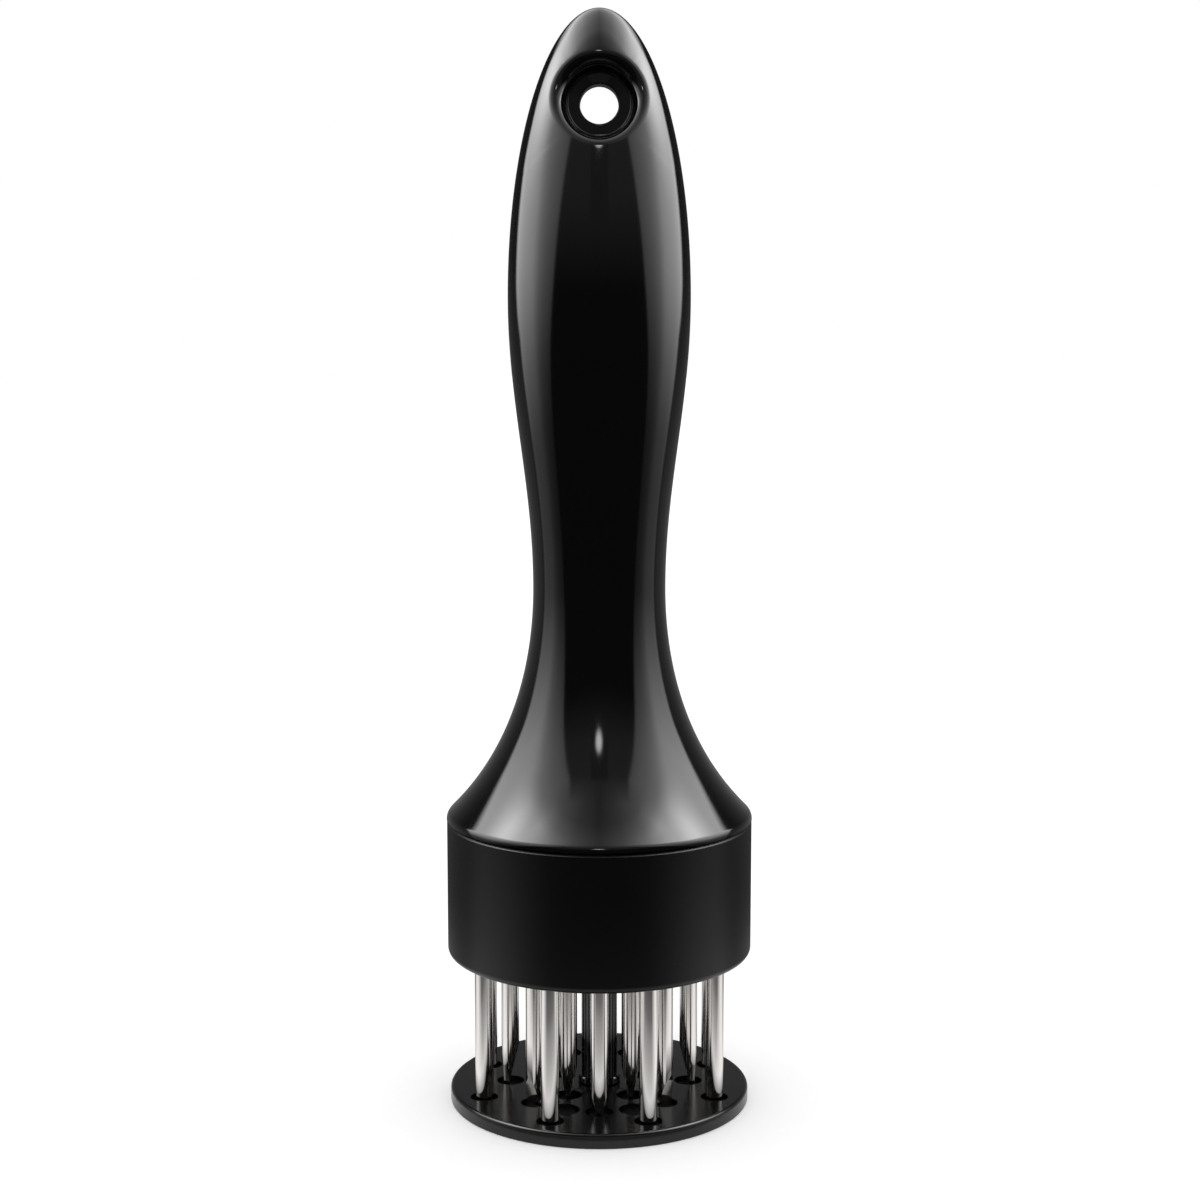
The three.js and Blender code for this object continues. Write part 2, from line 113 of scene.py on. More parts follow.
@dataclass
class Shader:
    """A node material under construction."""

    name: str
    tree: bpy.types.NodeTree = field(init=False)
    material: bpy.types.Material = field(init=False)
    output: bpy.types.Node = field(init=False)

    def __post_init__(self) -> None:
        """Makes an empty node material with an output."""
        self.material = bpy.data.materials.new(self.name)
        self.material.use_nodes = True
        self.tree = self.material.node_tree
        self.tree.nodes.clear()
        self.output = self.tree.nodes.new("ShaderNodeOutputMaterial")

    def node(self, kind: str, **sockets: object) -> bpy.types.Node:
        """Adds a node and sets or links its inputs.

        Args:
            kind: The node's type name after "ShaderNode".
            **sockets: Input names, with _ for a space, and their value or source socket.

        Returns:
            The new node.
        """
        made = self.tree.nodes.new("ShaderNode" + kind)
        for key, value in sockets.items():
            self.feed(made.inputs[key.replace("_", " ")], value)
        return made

    def feed(self, socket: Socket, value: object) -> None:
        """Links a socket to another one, or sets its value.

        Args:
            socket: The input.
            value: The output to link it to, or the value to set.
        """
        if isinstance(value, Socket):
            self.tree.links.new(value, socket)
        else:
            socket.default_value = value

    def show(self, surface: Socket) -> bpy.types.Material:
        """Gives the material its surface.

        Args:
            surface: The output of the last shader node.

        Returns:
            The finished material.
        """
        self.feed(self.output.inputs["Surface"], surface)
        return self.material

    def place(self, stretch: Sequence[float] = (1.0, 1.0, 1.0)) -> Socket:
        """Gives Object coordinates, scaled along each axis."""
        source = self.node("TexCoord").outputs["Object"]
        return self.node("Mapping", Vector=source, Scale=tuple(stretch)).outputs["Vector"]

    def noise(self, size: float, detail: float, stretch: Sequence[float] = (1.0, 1.0, 1.0)) -> Socket:
        """Gives a noise value whose blobs are about `size` across."""
        made = self.node("TexNoise", Vector=self.place(stretch), Scale=1.0 / size, Detail=detail)
        return made.outputs["Fac"]

    def span(self, value: Socket, middle: float, swing: float) -> Socket:
        """Turns a noise value into a number that wanders a little.

        Args:
            value: The noise value.
            middle: The number's middle.
            swing: How far it goes below and above the middle.

        Returns:
            The number's socket.
        """
        made = self.node("MapRange", Value=value, From_Min=NOISE_LOW, From_Max=NOISE_HIGH,
                         To_Min=middle - swing, To_Max=middle + swing)
        return made.outputs["Result"]

    def bump(self, height: Socket, depth: float, below: Socket | None = None) -> Socket:
        """Turns a height into a normal.

        Args:
            height: The height, from 0 to 1.
            depth: How deep the whole height is.
            below: The normal of another bump that this one lies on.

        Returns:
            The normal.
        """
        made = self.node("Bump", Height=height, Distance=depth, Strength=1.0)
        if below is not None:
            self.feed(made.inputs["Normal"], below)
        return made.outputs["Normal"]

    def math(self, operation: str, *values: object) -> Socket:
        """Works a number out from others.

        Args:
            operation: The sum's name, as Blender's Math node has it.
            *values: Sockets or numbers, in the node's order.

        Returns:
            The result's socket.
        """
        made = self.node("Math")
        made.operation = operation
        for socket, value in zip(made.inputs, values):
            self.feed(socket, value)
        return made.outputs["Value"]

    def length(self, across: Socket, along: Socket) -> Socket:
        """Gives the length of a step whose two parts are at a right angle."""
        return self.math("SQRT", self.math("MULTIPLY_ADD", across, across,
                                           self.math("POWER", along, 2.0)))

    def ramp(self, value: Socket, stops: Stops) -> Socket:
        """Follows straight stretches between stops.

        Args:
            value: What is looked up.
            stops: Pairs of a value and its result, in rising order.

        Returns:
            The result's socket, which stays level beyond the first and last stop.
        """
        low, high = stops[0][0], stops[-1][0]
        share = self.node("MapRange", Value=value, From_Min=low, From_Max=high)
        made = self.node("ValToRGB", Fac=share.outputs["Result"])
        marks = made.color_ramp.elements
        inner = [marks.new((place - low) / (high - low)) for place, _ in stops[1:-1]]
        for mark, (_, level) in zip((marks[0], *inner, marks[-1]), stops):
            mark.color = (level, level, level, 1.0)
        return made.outputs["Color"]

    def tint(self, value: Socket, color: Color, swing: float) -> Socket:
        """Gives a colour that wanders a little.

        Args:
            value: Where it stands between its two ends, from 0 to 1.
            color: Its middle.
            swing: The share that it goes below and above the middle.

        Returns:
            The colour.
        """
        made = self.node("MixRGB")
        self.feed(made.inputs["Fac"], value)
        for socket, share in (("Color1", 1.0 - swing), ("Color2", 1.0 + swing)):
            made.inputs[socket].default_value = (*(channel * share for channel in color), 1.0)
        return made.outputs["Color"]


@dataclass(frozen=True, kw_only=True)
class Finish(ABC):
    """What every finish has: its slot, colour and gloss, and how far they wander."""

    slot: Slot
    color: Color
    color_swing: float
    roughness: float
    roughness_swing: float
    name: str = ""

    def shader(self) -> Shader:
        """Starts the node material, named for the finish or its slot."""
        return Shader(self.name or self.slot.value + "_finish")

    @abstractmethod
    def material(self) -> bpy.types.Material:
        """Builds the node material."""


@dataclass(frozen=True, kw_only=True)
class Plastic(Finish):
    """A moulded plastic: colour, gloss, mould grain and a faint unevenness."""

    color_swing: float = 0.12
    specular: float = 0.5
    grain_size: float
    grain_depth: float
    wave_size: float
    wave_depth: float

    def material(self) -> bpy.types.Material:
        """Builds the node material.

        Returns:
            The material.
        """
        shader = self.shader()
        patches = shader.noise(self.wave_size, PATCH_DETAIL)
        grain = shader.noise(self.grain_size, GRAIN_DETAIL)
        surface = shader.bump(grain, self.grain_depth, shader.bump(patches, self.wave_depth))
        bsdf = shader.node("BsdfPrincipled", Normal=surface,
                           Base_Color=shader.tint(patches, self.color, self.color_swing),
                           Roughness=shader.span(grain, self.roughness, self.roughness_swing))
        bsdf.inputs["Specular IOR Level"].default_value = self.specular
        return shader.show(bsdf.outputs["BSDF"])


@dataclass(frozen=True, kw_only=True)
class Steel(Finish):
    """A steel surface whose grinding marks run along one axis."""

    color_swing: float = 0.05
    mark_size: float
    mark_depth: float
    mark_stretch: tuple[float, float, float]

    def material(self) -> bpy.types.Material:
        """Builds the node material.

        Returns:
            The material.
        """
        shader = self.shader()
        marks = shader.noise(self.mark_size, PATCH_DETAIL, self.mark_stretch)
        bsdf = shader.node("BsdfPrincipled", Metallic=1.0, Normal=shader.bump(marks, self.mark_depth),
                           Base_Color=shader.tint(marks, self.color, self.color_swing),
                           Roughness=shader.span(marks, self.roughness, self.roughness_swing))
        return shader.show(bsdf.outputs["BSDF"])


FINISHES: tuple[Finish, ...] = (
    Plastic(slot=Slot.GLOSS_BLACK, color=(0.0016, 0.0016, 0.0018), roughness=0.085,
            roughness_swing=0.02, grain_size=0.25 * MM, grain_depth=0.0004 * MM,
            wave_size=9 * MM, wave_depth=0.004 * MM),
    Plastic(slot=Slot.MATT_BLACK, color=(0.0015, 0.0015, 0.0016), roughness=0.33,
            roughness_swing=0.04, grain_size=0.12 * MM, grain_depth=0.004 * MM,
            wave_size=6 * MM, wave_depth=0.003 * MM, specular=0.32),
    Plastic(slot=Slot.NATURAL_PLASTIC, color=(0.62, 0.6, 0.54), roughness=0.42,
            roughness_swing=0.05, grain_size=0.15 * MM, grain_depth=0.002 * MM,
            wave_size=5 * MM, wave_depth=0.003 * MM),
    Steel(slot=Slot.POLISHED_STEEL, color=(0.72, 0.7, 0.675), roughness=0.07,
          roughness_swing=0.025, mark_size=0.12 * MM, mark_depth=0.0006 * MM,
          mark_stretch=(1.0, 1.0, 0.02)),
    Steel(slot=Slot.PLAIN_STEEL, color=(0.5, 0.5, 0.505), roughness=0.3,
          roughness_swing=0.06, mark_size=0.1 * MM, mark_depth=0.002 * MM,
          mark_stretch=(1.0, 1.0, 0.3)),
)
PLATE_FINISH = Plastic(slot=Slot.GLOSS_BLACK, color=(0.0022, 0.0022, 0.0024), roughness=0.2,
                       roughness_swing=0.04, grain_size=0.2 * MM, grain_depth=0.0006 * MM,
                       wave_size=7 * MM, wave_depth=0.003 * MM, name="plate_black")


@cache
def dressed(finish: Finish) -> bpy.types.Material:
    """The material of a finish, built once."""
    return finish.material()


def finish_of(slot: Slot) -> Finish:
    """The usual finish of a slot."""
    return next(finish for finish in FINISHES if finish.slot is slot)


def eased(share: float) -> float:
    """Turns a share from 0 to 1 into one that starts and ends gently."""
    share = max(0.0, min(1.0, share))
    return share * share * (3 - 2 * share)


def weighted(points: Sequence[Sequence[float]], shares: Sequence[float]) -> Point:
    """Finds the weighted mean of points in a plane.

    Args:
        points: The points.
        shares: How much each of them counts.

    Returns:
        The mean.
    """
    whole = sum(shares)
    across, up = (sum(share * point[axis] for share, point in zip(shares, points)) / whole
                  for axis in (0, 1))
    return across, up


def bend(start: Sequence[float], corner: Sequence[float], end: Sequence[float], steps: int,
         with_start: bool = False, weight: float = 1.0) -> list[Point]:
    """Lists points of a smooth bend round a corner.

    Args:
        start: Where the bend begins.
        corner: Where its two sides would meet.
        end: Where it ends.
        steps: How many stretches it has.
        with_start: Whether the first point is given too.
        weight: How strongly the corner pulls.

    Returns:
        The points in order.
    """
    points = []
    for step in range(0 if with_start else 1, steps + 1):
        t = step / steps
        shares = ((1 - t) ** 2, 2 * t * (1 - t) * weight, t * t)
        points.append(weighted((start, corner, end), shares))
    return points


@dataclass
class Outline:
    """Half section of a turned piece, as points (radius, height) from start to end."""

    points: list[Point] = field(default_factory=list)

    def to(self, *points: Point) -> "Outline":
        """Adds straight stretches through the points."""
        self.points.extend(points)
        return self

    def round(self, centre: Point, radius: float, start: float, end: float, steps: int) -> "Outline":
        """Adds an arc.

        Args:
            centre: The arc's centre, as (radius, height).
            radius: The arc's own radius.
            start: Angle of its first point from the outward direction, in degrees.
            end: Angle of its last point.
            steps: How many stretches it has.

        Returns:
            The outline itself.
        """
        for step in range(steps + 1):
            angle = math.radians(start + (end - start) * step / steps)
            self.points.append((centre[0] + radius * math.cos(angle),
                                centre[1] + radius * math.sin(angle)))
        return self

    def curve(self, leave: Point, arrive: Point, end: Point, steps: int) -> "Outline":
        """Adds a cubic curve from the last point.

        Args:
            leave: The handle that it leaves the last point towards.
            arrive: The handle that it comes from.
            end: Its last point.
            steps: How many stretches it has.

        Returns:
            The outline itself.
        """
        start = self.points[-1]
        for step in range(1, steps + 1):
            t = step / steps
            shares = ((1 - t) ** 3, 3 * t * (1 - t) ** 2, 3 * t * t * (1 - t), t ** 3)
            self.points.append(weighted((start, leave, arrive, end), shares))
        return self


def turned(outline: Outline, steps: int) -> bmesh.types.BMesh:
    """Spins an outline round Z.

    Args:
        outline: A half section that starts and ends on the axis, or closes on itself.
        steps: Facets of a full turn.

    Returns:
        A closed mesh with its faces outwards.
    """
    shape = bmesh.new()
    corners = [shape.verts.new((radius, 0.0, height)) for radius, height in outline.points]
    sides = [shape.edges.new(pair) for pair in zip(corners, corners[1:])]
    if outline.points[0][0] > 0:
        sides.append(shape.edges.new((corners[-1], corners[0])))
    bmesh.ops.spin(shape, geom=corners + sides, cent=(0, 0, 0), axis=AXIS_UP,
                   angle=math.tau, steps=steps, use_merge=True)
    bmesh.ops.remove_doubles(shape, verts=shape.verts, dist=MERGE_TURNED)
    bmesh.ops.recalc_face_normals(shape, faces=shape.faces)
    return shape


def bar(radius: float, bottom: float, top: float, sides: int,
        place: Vector = Vector((0, 0, 0))) -> bmesh.types.BMesh:
    """Makes a plain round bar along Z, used as a drill.

    Args:
        radius: Its radius.
        bottom: Height of its lower end.
        top: Height of its upper end.
        sides: How many facets it has.
        place: Where it stands on the ground plane.

    Returns:
        The bar.
    """
    shape = bmesh.new()
    bmesh.ops.create_cone(shape, cap_ends=True, segments=sides, radius1=radius, radius2=radius,
                          depth=top - bottom,
                          matrix=Matrix.Translation((place.x, place.y, (top + bottom) / 2)))
    return shape


def drills_at(names: Iterable[str], radius: float, bottom: float, top: float, sides: int
              ) -> list[bmesh.types.BMesh]:
    """Makes a drill through a piece at the place of each node.

    Args:
        names: The CAD nodes.
        radius: The drills' radius.
        bottom: Height of the piece's underside.
        top: Height of its upper side.
        sides: How many facets a drill has.

    Returns:
        The drills, which reach past both sides.
    """
    return [bar(radius, bottom - OVERRUN, top + OVERRUN, sides, place_of(name)) for name in names]


def stepped_bar(lower: float, upper: float, bottom: float, step: float, top: float,
                place: Vector, sides: int = 28) -> bmesh.types.BMesh:
    """Makes a drill with one radius below a step and another above it.

    Args:
        lower: Radius below the step.
        upper: Radius above the step.
        bottom: Height of its lower end.
        step: Height of the step.
        top: Height of its upper end.
        place: Where it stands on the ground plane.
        sides: How many facets it has.

    Returns:
        The drill.
    """
    line = Outline().to((0.0, bottom), (lower, bottom), (lower, step), (upper, step),
                        (upper, top), (0.0, top))
    shape = turned(line, sides)
    bmesh.ops.translate(shape, verts=shape.verts, vec=place)
    return shape


def cross(length: float, width: float, bottom: float, top: float) -> list[bmesh.types.BMesh]:
    """Makes the two crossed bars of a screwdriver recess, as drills.

    Args:
        length: Length of a bar.
        width: Width of a bar.
        bottom: Height of their lower side.
        top: Height of their upper side.

    Returns:
        The two bars.
    """
    shapes = []
    for size in ((length, width), (width, length)):
        shape = bmesh.new()
        bmesh.ops.create_cube(shape, size=1.0, matrix=Matrix.Translation((0, 0, (top + bottom) / 2))
                              @ Matrix.Diagonal((*size, top - bottom, 1.0)))
        shapes.append(shape)
    return shapes


def mesh_object(shape: bmesh.types.BMesh, name: str) -> bpy.types.Object:
    """Turns a bmesh into an object at the origin.

    Args:
        shape: The bmesh. It is used up.
        name: The name of the object and its mesh.

    Returns:
        The object, linked to the scene.
    """
    mesh = bpy.data.meshes.new(name)
    shape.to_mesh(mesh)
    shape.free()
    made = bpy.data.objects.new(name, mesh)
    bpy.context.scene.collection.objects.link(made)
    return made


def drilled(shape: bmesh.types.BMesh, drills: Iterable[bmesh.types.BMesh]) -> bmesh.types.BMesh:
    """Cuts drills that don't touch each other out of a shape.

    Args:
        shape: The closed shape to cut. It is used up.
        drills: Closed shapes to take away. They are used up.

    Returns:
        The cut shape.
    """
    piece = mesh_object(shape, "blank")
    together = bmesh.new()
    for drill in drills:
        loose = bpy.data.meshes.new("drill")
        drill.to_mesh(loose)
        drill.free()
        together.from_mesh(loose)
        bpy.data.meshes.remove(loose)
    tool = mesh_object(together, "drills")
    cut = piece.modifiers.new("drill", "BOOLEAN")
    cut.operation = "DIFFERENCE"
    cut.solver = "EXACT"
    cut.object = tool
    bpy.context.view_layer.update()
    result = bmesh.new()
    result.from_object(piece, bpy.context.evaluated_depsgraph_get())
    for spent in (piece, tool):
        mesh = spent.data
        bpy.data.objects.remove(spent)
        bpy.data.meshes.remove(mesh)
    bmesh.ops.remove_doubles(result, verts=result.verts, dist=MERGE_CUT)
    return result


def ease_rims(shape: bmesh.types.BMesh, width: float, keep: Callable[[Vector], bool]) -> None:
    """Bevels the square edges whose middle passes a test.

    Args:
        shape: The shape to bevel.
        width: How far the bevel reaches from the edge.
        keep: Says whether an edge with this middle is bevelled.
    """
    rims = [edge for edge in shape.edges
            if len(edge.link_faces) == 2 and edge.calc_face_angle(0.0) > SQUARE_ANGLE
            and keep((edge.verts[0].co + edge.verts[1].co) / 2)]
    bmesh.ops.bevel(shape, geom=rims, offset=width, offset_type="OFFSET", segments=2, profile=0.5,
                    affect="EDGES", material=-1, clamp_overlap=True)


def finished(shape: bmesh.types.BMesh, node: str, slot: Slot, body: Body,
             finish: Finish | None = None) -> bpy.types.Object:
    """Makes a piece that stands for a CAD node.

    Args:
        shape: Its closed mesh, in place.
        node: The CAD node that it replaces, which also names it.
        slot: The material slot of its finish.
        body: The body that it rides on.
        finish: Its finish, where it isn't the slot's usual one.

    Returns:
        The piece.
    """
    for face in shape.faces:
        face.smooth = True
    for edge in shape.edges:
        edge.smooth = len(edge.link_faces) == 2 and edge.calc_face_angle(0.0) < SHARP_ANGLE
    made = mesh_object(shape, "shown_" + node)
    made.data.materials.append(dressed(finish or finish_of(slot)))
    even = made.modifiers.new("even_shading", "WEIGHTED_NORMAL")
    even.keep_sharp = True
    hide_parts(node)
    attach(made, body.value)
    LOG.info("%s: %d faces", made.name, len(made.data.polygons))
    return made


def height_range(node: str) -> tuple[float, float]:
    """Lowest and highest height of a CAD node."""
    low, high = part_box(node)
    return low.z, high.z


def outer_radius(node: str) -> float:
    """Largest distance from the middle that a centred round CAD node reaches."""
    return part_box(node)[1].x


def own_radius(node: str) -> float:
    """Half the width of a round CAD node, wherever it stands."""
    low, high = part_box(node)
    return (high.x - low.x) / 2


def place_of(node: str) -> Vector:
    """The middle of a CAD node, on the ground plane."""
    low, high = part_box(node)
    return Vector(((low.x + high.x) / 2, (low.y + high.y) / 2, 0.0))


def nodes_named(start: str) -> list[str]:
    """The CAD nodes whose names start so, in order."""
    return sorted(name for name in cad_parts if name.startswith(start))


def needle_names() -> list[str]:
    """The CAD nodes of the needles, in order."""
    return [name for name in nodes_named("needle_") if name != "needle_holder"]


@dataclass
class Handle:
    """The gloss moulding: flared foot, waist, palm swell, rounded end and hanging hole.

    It is turned as a round blank. On the front and the back, the grid of faces round the
    recess is drawn into a circle, the grip is flattened, and the recess is extruded inwards.
    """

    lip_round: float = 1.8 * MM
    lip_steps: int = 12
    flare_angle: float = math.radians(45)
    flare_lip_reach: float = 16.5 * MM
    flare_neck_reach: float = 13.5 * MM
    neck_radius: float = 11.8 * MM
    neck_height: float = 42 * MM
    palm_radius: float = 16.05 * MM
    palm_height: float = 92.6 * MM
    curve_steps: int = 44
    grip_reach_share: float = 0.364
    grip_depth_share: float = 0.86
    round_below: float = 22 * MM
    oval_above: float = 84 * MM
    hole_drop: float = 16.5 * MM
    hole_radius: float = 3.35 * MM
    hole_edge_round: float = 0.25 * MM
    floor_radius: float = 5.5 * MM
    floor_round: float = 0.35 * MM
    web_thickness: float = 6.6 * MM
    wall_shares: tuple[float, ...] = (0.33, 0.66)
    mouth_radius: float = 6.5 * MM
    mouth_depth: float = 8.6 * MM
    mouth_rise: float = 0.7 * MM
    rim_round: float = 1.65 * MM
    rim_steps: int = 9
    search_reach: float = 4.0
    search_rounds: int = 24
    search_step: float = 0.01 * MM
    edge_steps: int = 4
    bore_radius: float = 6.6 * MM
    pilot_radius: float = 1.7 * MM
    bore_sides: int = 40
    pilot_sides: int = 20
    facets: int = 128
    hole_cells: int = 13
    blend_cells: int = 24
    cell_height: float = 0.55 * MM
    edge_share: float = 0.99
    plain_rows: int = 20
    end_rows: int = 12

    def __post_init__(self) -> None:
        """Takes the heights and radii that neighbours and the box give."""
        self.spigot_bottom, self.top = height_range("handle")
        self.bottom = height_range("collar")[1] + FIT_GAP
        self.spigot_radius = outer_radius("needle_holder")
        self.lip_radius = outer_radius("handle")
        self.palm = self.bottom + self.palm_height
        self.hole = self.top - self.hole_drop
        self.mouth = self.hole + self.mouth_rise
        self.end_height = self.top - self.palm

    def end_width(self, height: float) -> float:
        """Half the width of the rounded end at a height above the palm swell."""
        share = min(1.0, (height - self.palm) / self.end_height)
        return self.palm_radius * math.sqrt(1.0 - share * share)

    def surface_depth(self, across: float, height: float) -> float:
        """Distance of the rounded end's surface from the mid-plane."""
        left = self.end_width(height) ** 2 - across * across
        return self.grip_depth_share * math.sqrt(max(left, 0.0))

    def outline(self) -> Outline:
        """Draws the half section before the grip is flattened.

        Returns:
            The outline, from the spigot's underside to the top.
        """
        lip_centre = (self.lip_radius - self.lip_round, self.bottom)
        line = Outline().to((0.0, self.spigot_bottom), (self.spigot_radius, self.spigot_bottom),
                            (self.spigot_radius, self.bottom))
        line.round(lip_centre, self.lip_round, 0.0, math.degrees(self.flare_angle), self.lip_steps)
        foot, neck = line.points[-1], (self.neck_radius, self.bottom + self.neck_height)
        sine, cosine = math.sin(self.flare_angle), math.cos(self.flare_angle)
        line.curve((foot[0] - self.flare_lip_reach * sine, foot[1] + self.flare_lip_reach * cosine),
                   (neck[0], neck[1] - self.flare_neck_reach), neck, self.curve_steps)
        reach = self.grip_reach_share * (self.palm - neck[1])
        line.curve((neck[0], neck[1] + reach), (self.palm_radius, self.palm - reach),
                   (self.palm_radius, self.palm), self.curve_steps)
        return self.draw_end(line)

    def draw_end(self, line: Outline) -> Outline:
        """Adds the rounded end, with even rows where the recess's grid lies.

        Args:
            line: The outline up to the palm swell.

        Returns:
            The whole outline.
        """
        low = self.mouth - self.blend_cells * self.cell_height
        high = self.mouth + self.blend_cells * self.cell_height
        heights = [self.palm + (low - self.palm) * row / self.plain_rows
                   for row in range(1, self.plain_rows)]
        heights += [self.mouth + cell * self.cell_height
                    for cell in range(-self.blend_cells, self.blend_cells + 1)]
        line.to(*((self.end_width(height), height) for height in heights))
        last = math.asin((high - self.palm) / self.end_height)
        for row in range(1, self.end_rows):
            angle = last + (math.pi / 2 - last) * row / self.end_rows
            line.to((self.palm_radius * math.cos(angle), self.palm + self.end_height * math.sin(angle)))
        return line.to((0.0, self.top))

    def grid_place(self, point: Vector, side: Side) -> Point:
        """Says how many cells a point is round from the mouth's middle, and how many up."""
        around = math.atan2(point.x, side * point.y) / (math.tau / self.facets)
        return around, (point.z - self.mouth) / self.cell_height

    def cell(self, point: Vector, side: Side) -> int | None:
        """Counts the cells from the mouth's middle to a surface point, on one side.

        Args:
            point: A point of the blank.
            side: The side that counts.

        Returns:
            The count by the farther direction, or None for a point elsewhere.
        """
        if side * point.y < 0 or point.z < self.mouth - (self.blend_cells + 0.5) * self.cell_height:
            return None
        around, upward = self.grid_place(point, side)
        count = round(max(abs(around), abs(upward)))
        return count if count <= self.blend_cells else None

    def drawn_in(self, point: Vector, side: Side) -> Vector:
        """Moves a point of the grid towards its place on circles round the mouth.

        Args:
            point: A point of the blank, at or beyond the block that is taken out.
            side: The side that it lies on.

        Returns:
            Its new place, still on the round blank.
        """
        around, upward = self.grid_place(point, side)
        beyond = max(abs(around), abs(upward)) - self.hole_cells
        ease = eased(beyond / (self.blend_cells - self.hole_cells))
        rim = self.rounding(math.atan2(upward, around))[0].x
        circle = Vector((around, upward)).normalized() * (rim + beyond * self.cell_height)
        across = circle.x + (point.x - circle.x) * ease
        height = circle.y + (point.z - self.mouth - circle.y) * ease + self.mouth
        width = self.end_width(height)
        across = max(-self.edge_share * width, min(self.edge_share * width, across))
        return Vector((across, side * math.sqrt(width * width - across * across), height))

    def open_mouth(self, shape: bmesh.types.BMesh, side: Side) -> list[bmesh.types.BMEdge]:
        """Takes a block of faces out and draws the grid round it into a circle.

        Args:
            shape: The blank, still round.
            side: The side that is opened.

        Returns:
            The edges of the round opening.
        """
        cells = {vert: self.cell(vert.co, side) for vert in shape.verts}
        block = [face for face in shape.faces
                 if all(cells[vert] is not None and cells[vert] <= self.hole_cells for vert in face.verts)]
        bmesh.ops.delete(shape, geom=block, context="FACES")
        grid = {vert: count for vert, count in cells.items() if vert.is_valid and count is not None}
        for vert, count in grid.items():
            if count >= self.hole_cells:
                vert.co = self.drawn_in(vert.co, side)
        return [edge for edge in shape.edges
                if edge.is_boundary and all(grid.get(vert) == self.hole_cells for vert in edge.verts)]

    def ring_centre(self, radius: float) -> float:
        """Height of the middle of a recess ring, because the walls lean up towards the mouth."""
        share = (radius - self.floor_radius) / (self.mouth_radius - self.floor_radius)
        return self.hole + self.mouth_rise * max(0.0, min(1.0, share))

    def mouth_surface(self, angle: float, radius: float) -> float:
        """Depth of the handle's surface in one direction from the mouth's middle."""
        return self.surface_depth(radius * math.cos(angle), self.mouth + radius * math.sin(angle))

    def rounding(self, angle: float) -> tuple[Vector, Vector, Vector]:
        """Fits the rounded rim between the handle's surface and the recess's wall.

        Args:
            angle: The direction from the mouth's middle, up from +X.

        Returns:
            Its start on the surface, its corner and its end on the wall, as (radius, depth).
        """
        foot = Vector((self.floor_radius, self.web_thickness / 2))
        wall = (Vector((self.mouth_radius, self.mouth_depth)) - foot).normalized()
        low, high = self.mouth_radius, self.mouth_radius + self.search_reach * self.rim_round
        for _ in range(self.search_rounds):
            radius = (low + high) / 2
            start = Vector((radius, self.mouth_surface(angle, radius)))
            drop = self.mouth_surface(angle, radius - self.search_step) - start.y
            inwards = Vector((-self.search_step, drop)).normalized()
            offset = start - foot
            reach = ((offset.x * inwards.y - offset.y * inwards.x)
                     / (wall.x * inwards.y - wall.y * inwards.x))
            corner = foot + wall * reach
            tangent = (corner - start).length
            turn = inwards.angle(-wall)
            too_far = (corner - start).dot(inwards) > 0 and tangent > self.rim_round * math.tan(turn / 2)
            low, high = (low, radius) if too_far else (radius, high)
        return start, corner, corner - wall * tangent

    def recess_section(self, angle: float) -> list[Point]:
        """Lists the rings of the recess.

        Args:
            angle: The direction from the recess's middle, up from +X.

        Returns:
            Each ring's radius and depth there, from the rim to the hole.
        """
        floor = self.web_thickness / 2
        start, corner, wall = self.rounding(angle)
        inwards, down = (corner - start).normalized(), (wall - corner).normalized()
        rings = bend(start, corner, wall, self.rim_steps, weight=math.cos(inwards.angle(down) / 2))
        foot = Vector((self.floor_radius, floor)) - down * self.floor_round
        rings += [tuple(wall.lerp(foot, share)) for share in self.wall_shares]
        rings += bend(foot, (self.floor_radius, floor), (self.floor_radius - self.floor_round, floor),
                      self.edge_steps, with_start=True)
        edge = self.hole_edge_round
        rings += bend((self.hole_radius + edge, floor), (self.hole_radius, floor),
                      (self.hole_radius, floor - edge), self.edge_steps, with_start=True)
        return rings

    def sink_recess(self, shape: bmesh.types.BMesh, side: Side,
                    rim: list[bmesh.types.BMEdge]) -> list[bmesh.types.BMEdge]:
        """Extrudes the opening inwards ring by ring.

        Args:
            shape: The flattened blank with its round opening.
            side: The side that the opening is on.
            rim: The opening's edges.

        Returns:
            The edges of the innermost ring.
        """
        angles = {vert: math.atan2(vert.co.z - self.mouth, vert.co.x)
                  for edge in rim for vert in edge.verts}
        sections = {angle: self.recess_section(angle) for angle in angles.values()}
        for ring in range(len(self.recess_section(0.0))):
            made = bmesh.ops.extrude_edge_only(shape, edges=rim)["geom"]
            rim = [item for item in made if isinstance(item, bmesh.types.BMEdge) and item.is_boundary]
            angles = {vert: next(angles[edge.other_vert(vert)] for edge in vert.link_edges
                                 if edge.other_vert(vert) in angles)
                      for edge in rim for vert in edge.verts}
            for vert, angle in angles.items():
                radius, depth = sections[angle][ring]
                vert.co = (radius * math.cos(angle), side * depth,
                           self.ring_centre(radius) + radius * math.sin(angle))
        return rim

    def flatten_grip(self, shape: bmesh.types.BMesh) -> None:
        """Makes the grip less deep than wide, more so towards the palm swell.

        Args:
            shape: The blank.
        """
        for vert in shape.verts:
            share = (vert.co.z - self.bottom - self.round_below) / (self.oval_above - self.round_below)
            vert.co.y *= 1.0 + (self.grip_depth_share - 1.0) * eased(share)

